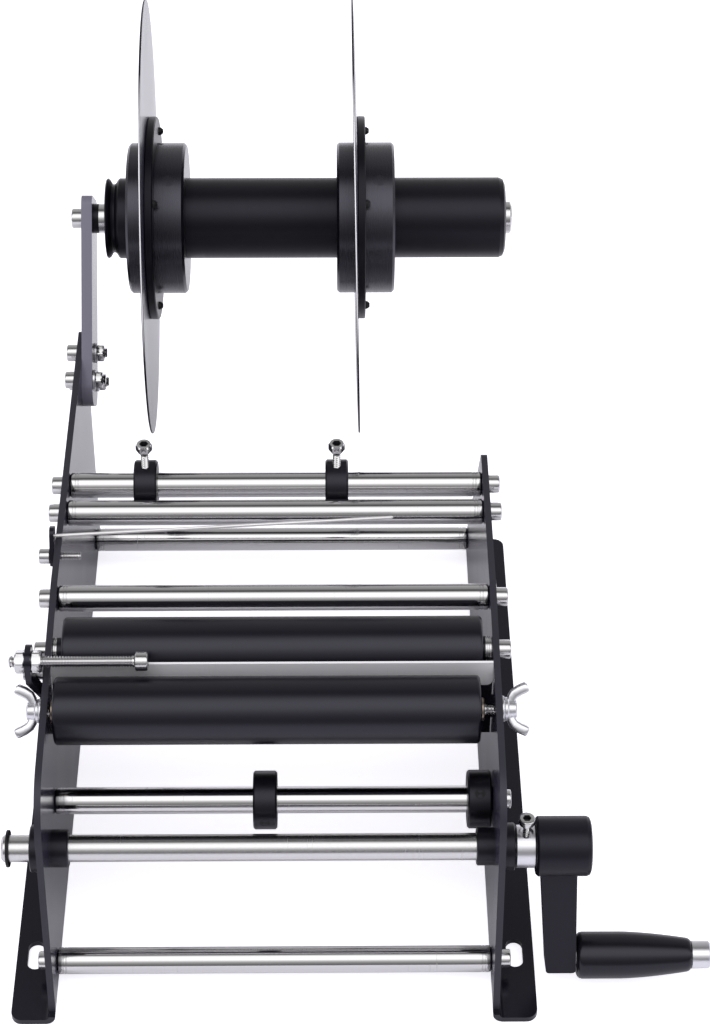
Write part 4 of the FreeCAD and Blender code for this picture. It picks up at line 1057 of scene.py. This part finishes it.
class LABELLER_OT_spool(bpy.types.Operator):
    """Make the label spool: tube, pulley, hubs, discs, rings and their screws"""
    bl_idname = "labeller.spool"
    bl_label = "Label spool"

    def execute(self, context):
        dress("spool_shaft", nickel_screw())
        self.make_spacer()
        dress("spool_end_nut", nickel_screw(), 0.3 * MM)
        dress("spool_bushes", black_plastic(), 0.2 * MM)
        dress("spool_tube", anodised_black())
        dress("brake_pulley", anodised_black())
        make_screw("spool_arm_screw", "spool_shaft_screw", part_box("spool_shaft_screw"), (1, 0, 0),
                   6.0 * MM, 2.9 * MM, 5.0 * MM, 3.0 * MM, 0.5 * MM, 0.6 * MM)
        for name in ("fixed", "sliding"):
            dress(f"{name}_flange_hub", anodised_hub())
            self.plug_hub(name)
            dress(f"{name}_flange_ring", anodised_black(), 0.3 * MM)
            dress(f"{name}_flange_ring_screws", black_steel_and_socket_shade(), 0.2 * MM)
            self.make_disc(name)
        return {"FINISHED"}

    def make_spacer(self):
        """A black washer against the arm and a polished sleeve next to the pulley."""
        place, radius, length = measure(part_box("spool_spacer"))
        bore = 5.04 * MM
        seam = length * 0.38
        edge = 0.25 * MM
        dark = bmesh.new()
        turn_solid(dark, place, [(0, bore), (0, radius), (seam - edge, radius), (seam, radius - edge),
                                 (seam, bore), (0, bore)])
        finish_mesh("spool_washer", dark, "frame", black_plastic(), ["spool_spacer"])
        bright = bmesh.new()
        turn_solid(bright, place, [(seam, bore), (seam, radius - edge), (seam + edge, radius),
                                   (length - edge, radius), (length, radius - edge), (length, bore),
                                   (seam, bore)])
        finish_mesh("spool_sleeve", bright, "frame", nickel_screw(), ["spool_spacer"])

    def plug_hub(self, name):
        """A flush plug over the hub's screw hole."""
        node = f"{name}_flange_hub"
        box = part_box(node)
        plug = bmesh.new()
        add_plug(plug, box, box[0].x + 21.0 * MM, math.radians(25), measure(box)[1] + 0.02 * MM, 3.0 * MM)
        finish_mesh(f"{name}_hub_plug", plug, BODY_OF[node], anodised_hub())

    # The thin discs lean a little outside their rings: radians about two axes across the spool.
    LEAN = {"fixed": (math.radians(1.45), math.radians(0.5)),
            "sliding": (math.radians(-0.6), math.radians(0.75))}

    def make_disc(self, name):
        node = f"{name}_flange_disc"
        spot = middle(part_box(node))
        place, radius, thick = measure(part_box(node))
        bore = measure(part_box(f"{name}_flange_hub"))[1] + 0.05 * MM
        seat = measure(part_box(f"{name}_flange_ring"))[1] + 0.5 * MM
        edge = 0.25 * MM
        steps = [seat + (radius - edge - seat) * step / 6 for step in range(7)]
        outline = [(0, bore)] + [(0, reach) for reach in steps] + [(edge, radius), (thick - edge, radius)]
        outline += [(thick, reach) for reach in reversed(steps)] + [(thick, bore), (0, bore)]
        build = bmesh.new()
        turn_solid(build, place, outline, 256)
        forward, upward = self.LEAN[name]
        front = Vector((0, -0.737, 0.676))
        top = Vector((0, 0.676, 0.737))
        for vertex in build.verts:
            offset = vertex.co - spot
            share = (math.hypot(offset.y, offset.z) - seat) / (radius - seat)
            lean = forward * offset.dot(front) - upward * offset.dot(top)
            vertex.co.x += max(0.0, share) * lean
        disc = finish_mesh(f"{name}_disc", build, BODY_OF[node], disc_enamel(), [node], rim_highlight_and_shade())
        # The rim faces take the painted highlight and shade.
        for face in disc.data.polygons:
            face.material_index = int(abs(face.normal.x) < 0.5 and (face.center - spot).length > radius / 2)


# ------------------------------------------------------------------ studio

class LABELLER_OT_stage(bpy.types.Operator):
    """Set up the camera, the floor, the soft light and the white surroundings"""
    bl_idname = "labeller.stage"
    bl_label = "Studio"

    def execute(self, context):
        self.add_camera(context.scene)
        self.add_floor()
        self.add_lights()
        self.make_world(context.scene)
        context.scene.view_settings.view_transform = "Standard"
        return {"FINISHED"}

    def add_camera(self, scene):
        settings = studio()
        lens = bpy.data.cameras.new("Camera")
        lens.lens = settings.focal_length
        lens.sensor_width = 36.0
        lens.clip_start = 0.05
        camera = bpy.data.objects.new("Camera", lens)
        turn = (Euler((0, 0, settings.camera_turn)).to_matrix()
                @ Euler((math.pi / 2 - settings.camera_down, 0, 0)).to_matrix()
                @ Euler((0, 0, settings.camera_roll)).to_matrix())
        camera.matrix_world = Matrix.Translation(settings.camera_place) @ turn.to_4x4()
        scene.collection.objects.link(camera)
        scene.camera = camera

    def add_floor(self):
        mesh = bpy.data.meshes.new("floor")
        build = bmesh.new()
        half_width = 6.0
        bmesh.ops.create_grid(build, x_segments=1, y_segments=1, size=half_width)
        build.to_mesh(mesh)
        build.free()
        floor = bpy.data.objects.new("floor", mesh)
        floor.location.z = -0.2 * MM
        material = bpy.data.materials.new("Plain white floor")
        material.use_nodes = True
        tree = material.node_tree
        shader = tree.nodes["Principled BSDF"]
        shader.inputs["Base Color"].default_value = (*studio().floor_colour, 1.0)
        shader.inputs["Roughness"].default_value = 0.9
        shader.inputs["Specular IOR Level"].default_value = 0.0
        ray = add(tree, "ShaderNodeLightPath").outputs
        split = add(tree, "ShaderNodeSeparateXYZ")
        feed(tree, split.inputs[0], add(tree, "ShaderNodeTexCoord").outputs["Object"])
        # The glow that makes the floor white, and its reflection, which grows from front to rear.
        seen = add_math(tree, "MULTIPLY", ray["Is Camera Ray"], 0.78)
        behind = add_range(tree, split.outputs["Y"], 0.06, 0.34, 0.05, 0.60)
        glow = add(tree, "ShaderNodeEmission")
        glow.inputs["Color"].default_value = (0.97, 0.96, 1.0, 1.0)
        strength = add_math(tree, "MULTIPLY_ADD", ray["Is Glossy Ray"], behind, seen)
        feed(tree, glow.inputs["Strength"], strength)
        both = add(tree, "ShaderNodeAddShader")
        feed(tree, both.inputs[0], shader.outputs[0])
        feed(tree, both.inputs[1], glow.outputs[0])
        feed(tree, tree.nodes["Material Output"].inputs["Surface"], both.outputs[0])
        mesh.materials.append(material)
        bpy.context.scene.collection.objects.link(floor)

    def add_lights(self):
        light = bpy.data.lights.new("Overhead softbox", "AREA")
        light.shape = "RECTANGLE"
        light.size = 1.6
        light.size_y = 0.9
        light.energy = studio().softbox_power
        box = bpy.data.objects.new("Overhead softbox", light)
        box.location = (0.0, -0.55, 1.35)
        box.rotation_euler = (Vector((0, 0, 0.1)) - box.location).to_track_quat("-Z", "Y").to_euler()
        box.visible_glossy = False
        bpy.context.scene.collection.objects.link(box)

    def make_world(self, scene):
        """White to the camera; shiny parts see a softbox overhead with dark gaps about it."""
        world = bpy.data.worlds.new("Studio surroundings")
        world.use_nodes = True
        scene.world = world
        tree = world.node_tree
        split = add(tree, "ShaderNodeSeparateXYZ")
        feed(tree, split.inputs[0], add(tree, "ShaderNodeTexCoord").outputs["Generated"])
        front = add_math(tree, "MULTIPLY", split.outputs["Y"], -1.0)
        angle = add_math(tree, "ARCTAN2", front, split.outputs["Z"])
        ramp = add(tree, "ShaderNodeValToRGB")
        feed(tree, ramp.inputs["Fac"], add_range(tree, angle, -math.pi, math.pi))
        self.fill_ramp(ramp.color_ramp)
        ray = add(tree, "ShaderNodeLightPath").outputs
        bright = add_scaled(tree, ramp.outputs["Color"], 1.6)
        shiny = add_mix(tree, ray["Is Glossy Ray"], (0.62, 0.62, 0.64, 1.0), bright)
        seen = add_mix(tree, ray["Is Camera Ray"], shiny, (1.0, 1.0, 1.0, 1.0))
        feed(tree, tree.nodes["Background"].inputs["Color"], seen)

    def fill_ramp(self, ramp):
        """Brightness of the surroundings by angle from overhead, positive towards the front."""
        stops = [(-180, 0.30), (-100, 0.35), (-62, 0.30), (-30, 0.20), (-18, 0.07), (-8, 0.06), (-1, 0.35),
                 (8, 0.85), (20, 1.0), (40, 0.92), (47, 0.62), (55, 0.38), (67, 0.22), (78, 0.13),
                 (92, 0.10), (104, 0.25), (180, 0.35)]
        points = ramp.elements
        while len(points) > 1:
            points.remove(points[-1])
        for index, (degrees, level) in enumerate(stops):
            place = (degrees + 180) / 360
            point = points[0] if index == 0 else points.new(place)
            point.position = place
            point.color = (level, level, level, 1.0)


PIECES = (LABELLER_OT_side_plates, LABELLER_OT_rods, LABELLER_OT_cap_screws, LABELLER_OT_washers,
          LABELLER_OT_nuts, LABELLER_OT_peel_plate, LABELLER_OT_rollers, LABELLER_OT_wing_nuts,
          LABELLER_OT_crank, LABELLER_OT_collars, LABELLER_OT_thumb_screws, LABELLER_OT_pointer,
          LABELLER_OT_bracket_fixings, LABELLER_OT_edge_stop, LABELLER_OT_spool, LABELLER_OT_stage)
SETTINGS = (StudioSettings, FinishSettings, HardwareSettings)


class LABELLER_PT_panel(bpy.types.Panel):
    """Lists the machine's settings and pieces"""
    bl_label = "Labelling machine"
    bl_idname = "LABELLER_PT_panel"
    bl_space_type = "VIEW_3D"
    bl_region_type = "UI"
    bl_category = "Labeller"

    def draw(self, context):
        for settings in (studio(), finishes(), hardware()):
            box = self.layout.box()
            for name in settings.__annotations__:
                box.prop(settings, name)
        for piece in PIECES:
            self.layout.operator(piece.bl_idname)


def register():
    for item in (*SETTINGS, *PIECES, LABELLER_PT_panel):
        bpy.utils.register_class(item)
    bpy.types.Scene.labeller_studio = bpy.props.PointerProperty(type=StudioSettings)
    bpy.types.Scene.labeller_finishes = bpy.props.PointerProperty(type=FinishSettings)
    bpy.types.Scene.labeller_hardware = bpy.props.PointerProperty(type=HardwareSettings)


def unregister():
    del bpy.types.Scene.labeller_studio
    del bpy.types.Scene.labeller_finishes
    del bpy.types.Scene.labeller_hardware
    for item in reversed((*SETTINGS, *PIECES, LABELLER_PT_panel)):
        bpy.utils.unregister_class(item)


def main():
    register()
    for piece in PIECES:
        group, name = piece.bl_idname.split(".")
        getattr(getattr(bpy.ops, group), name)()


if __name__ == "__main__":
    main()
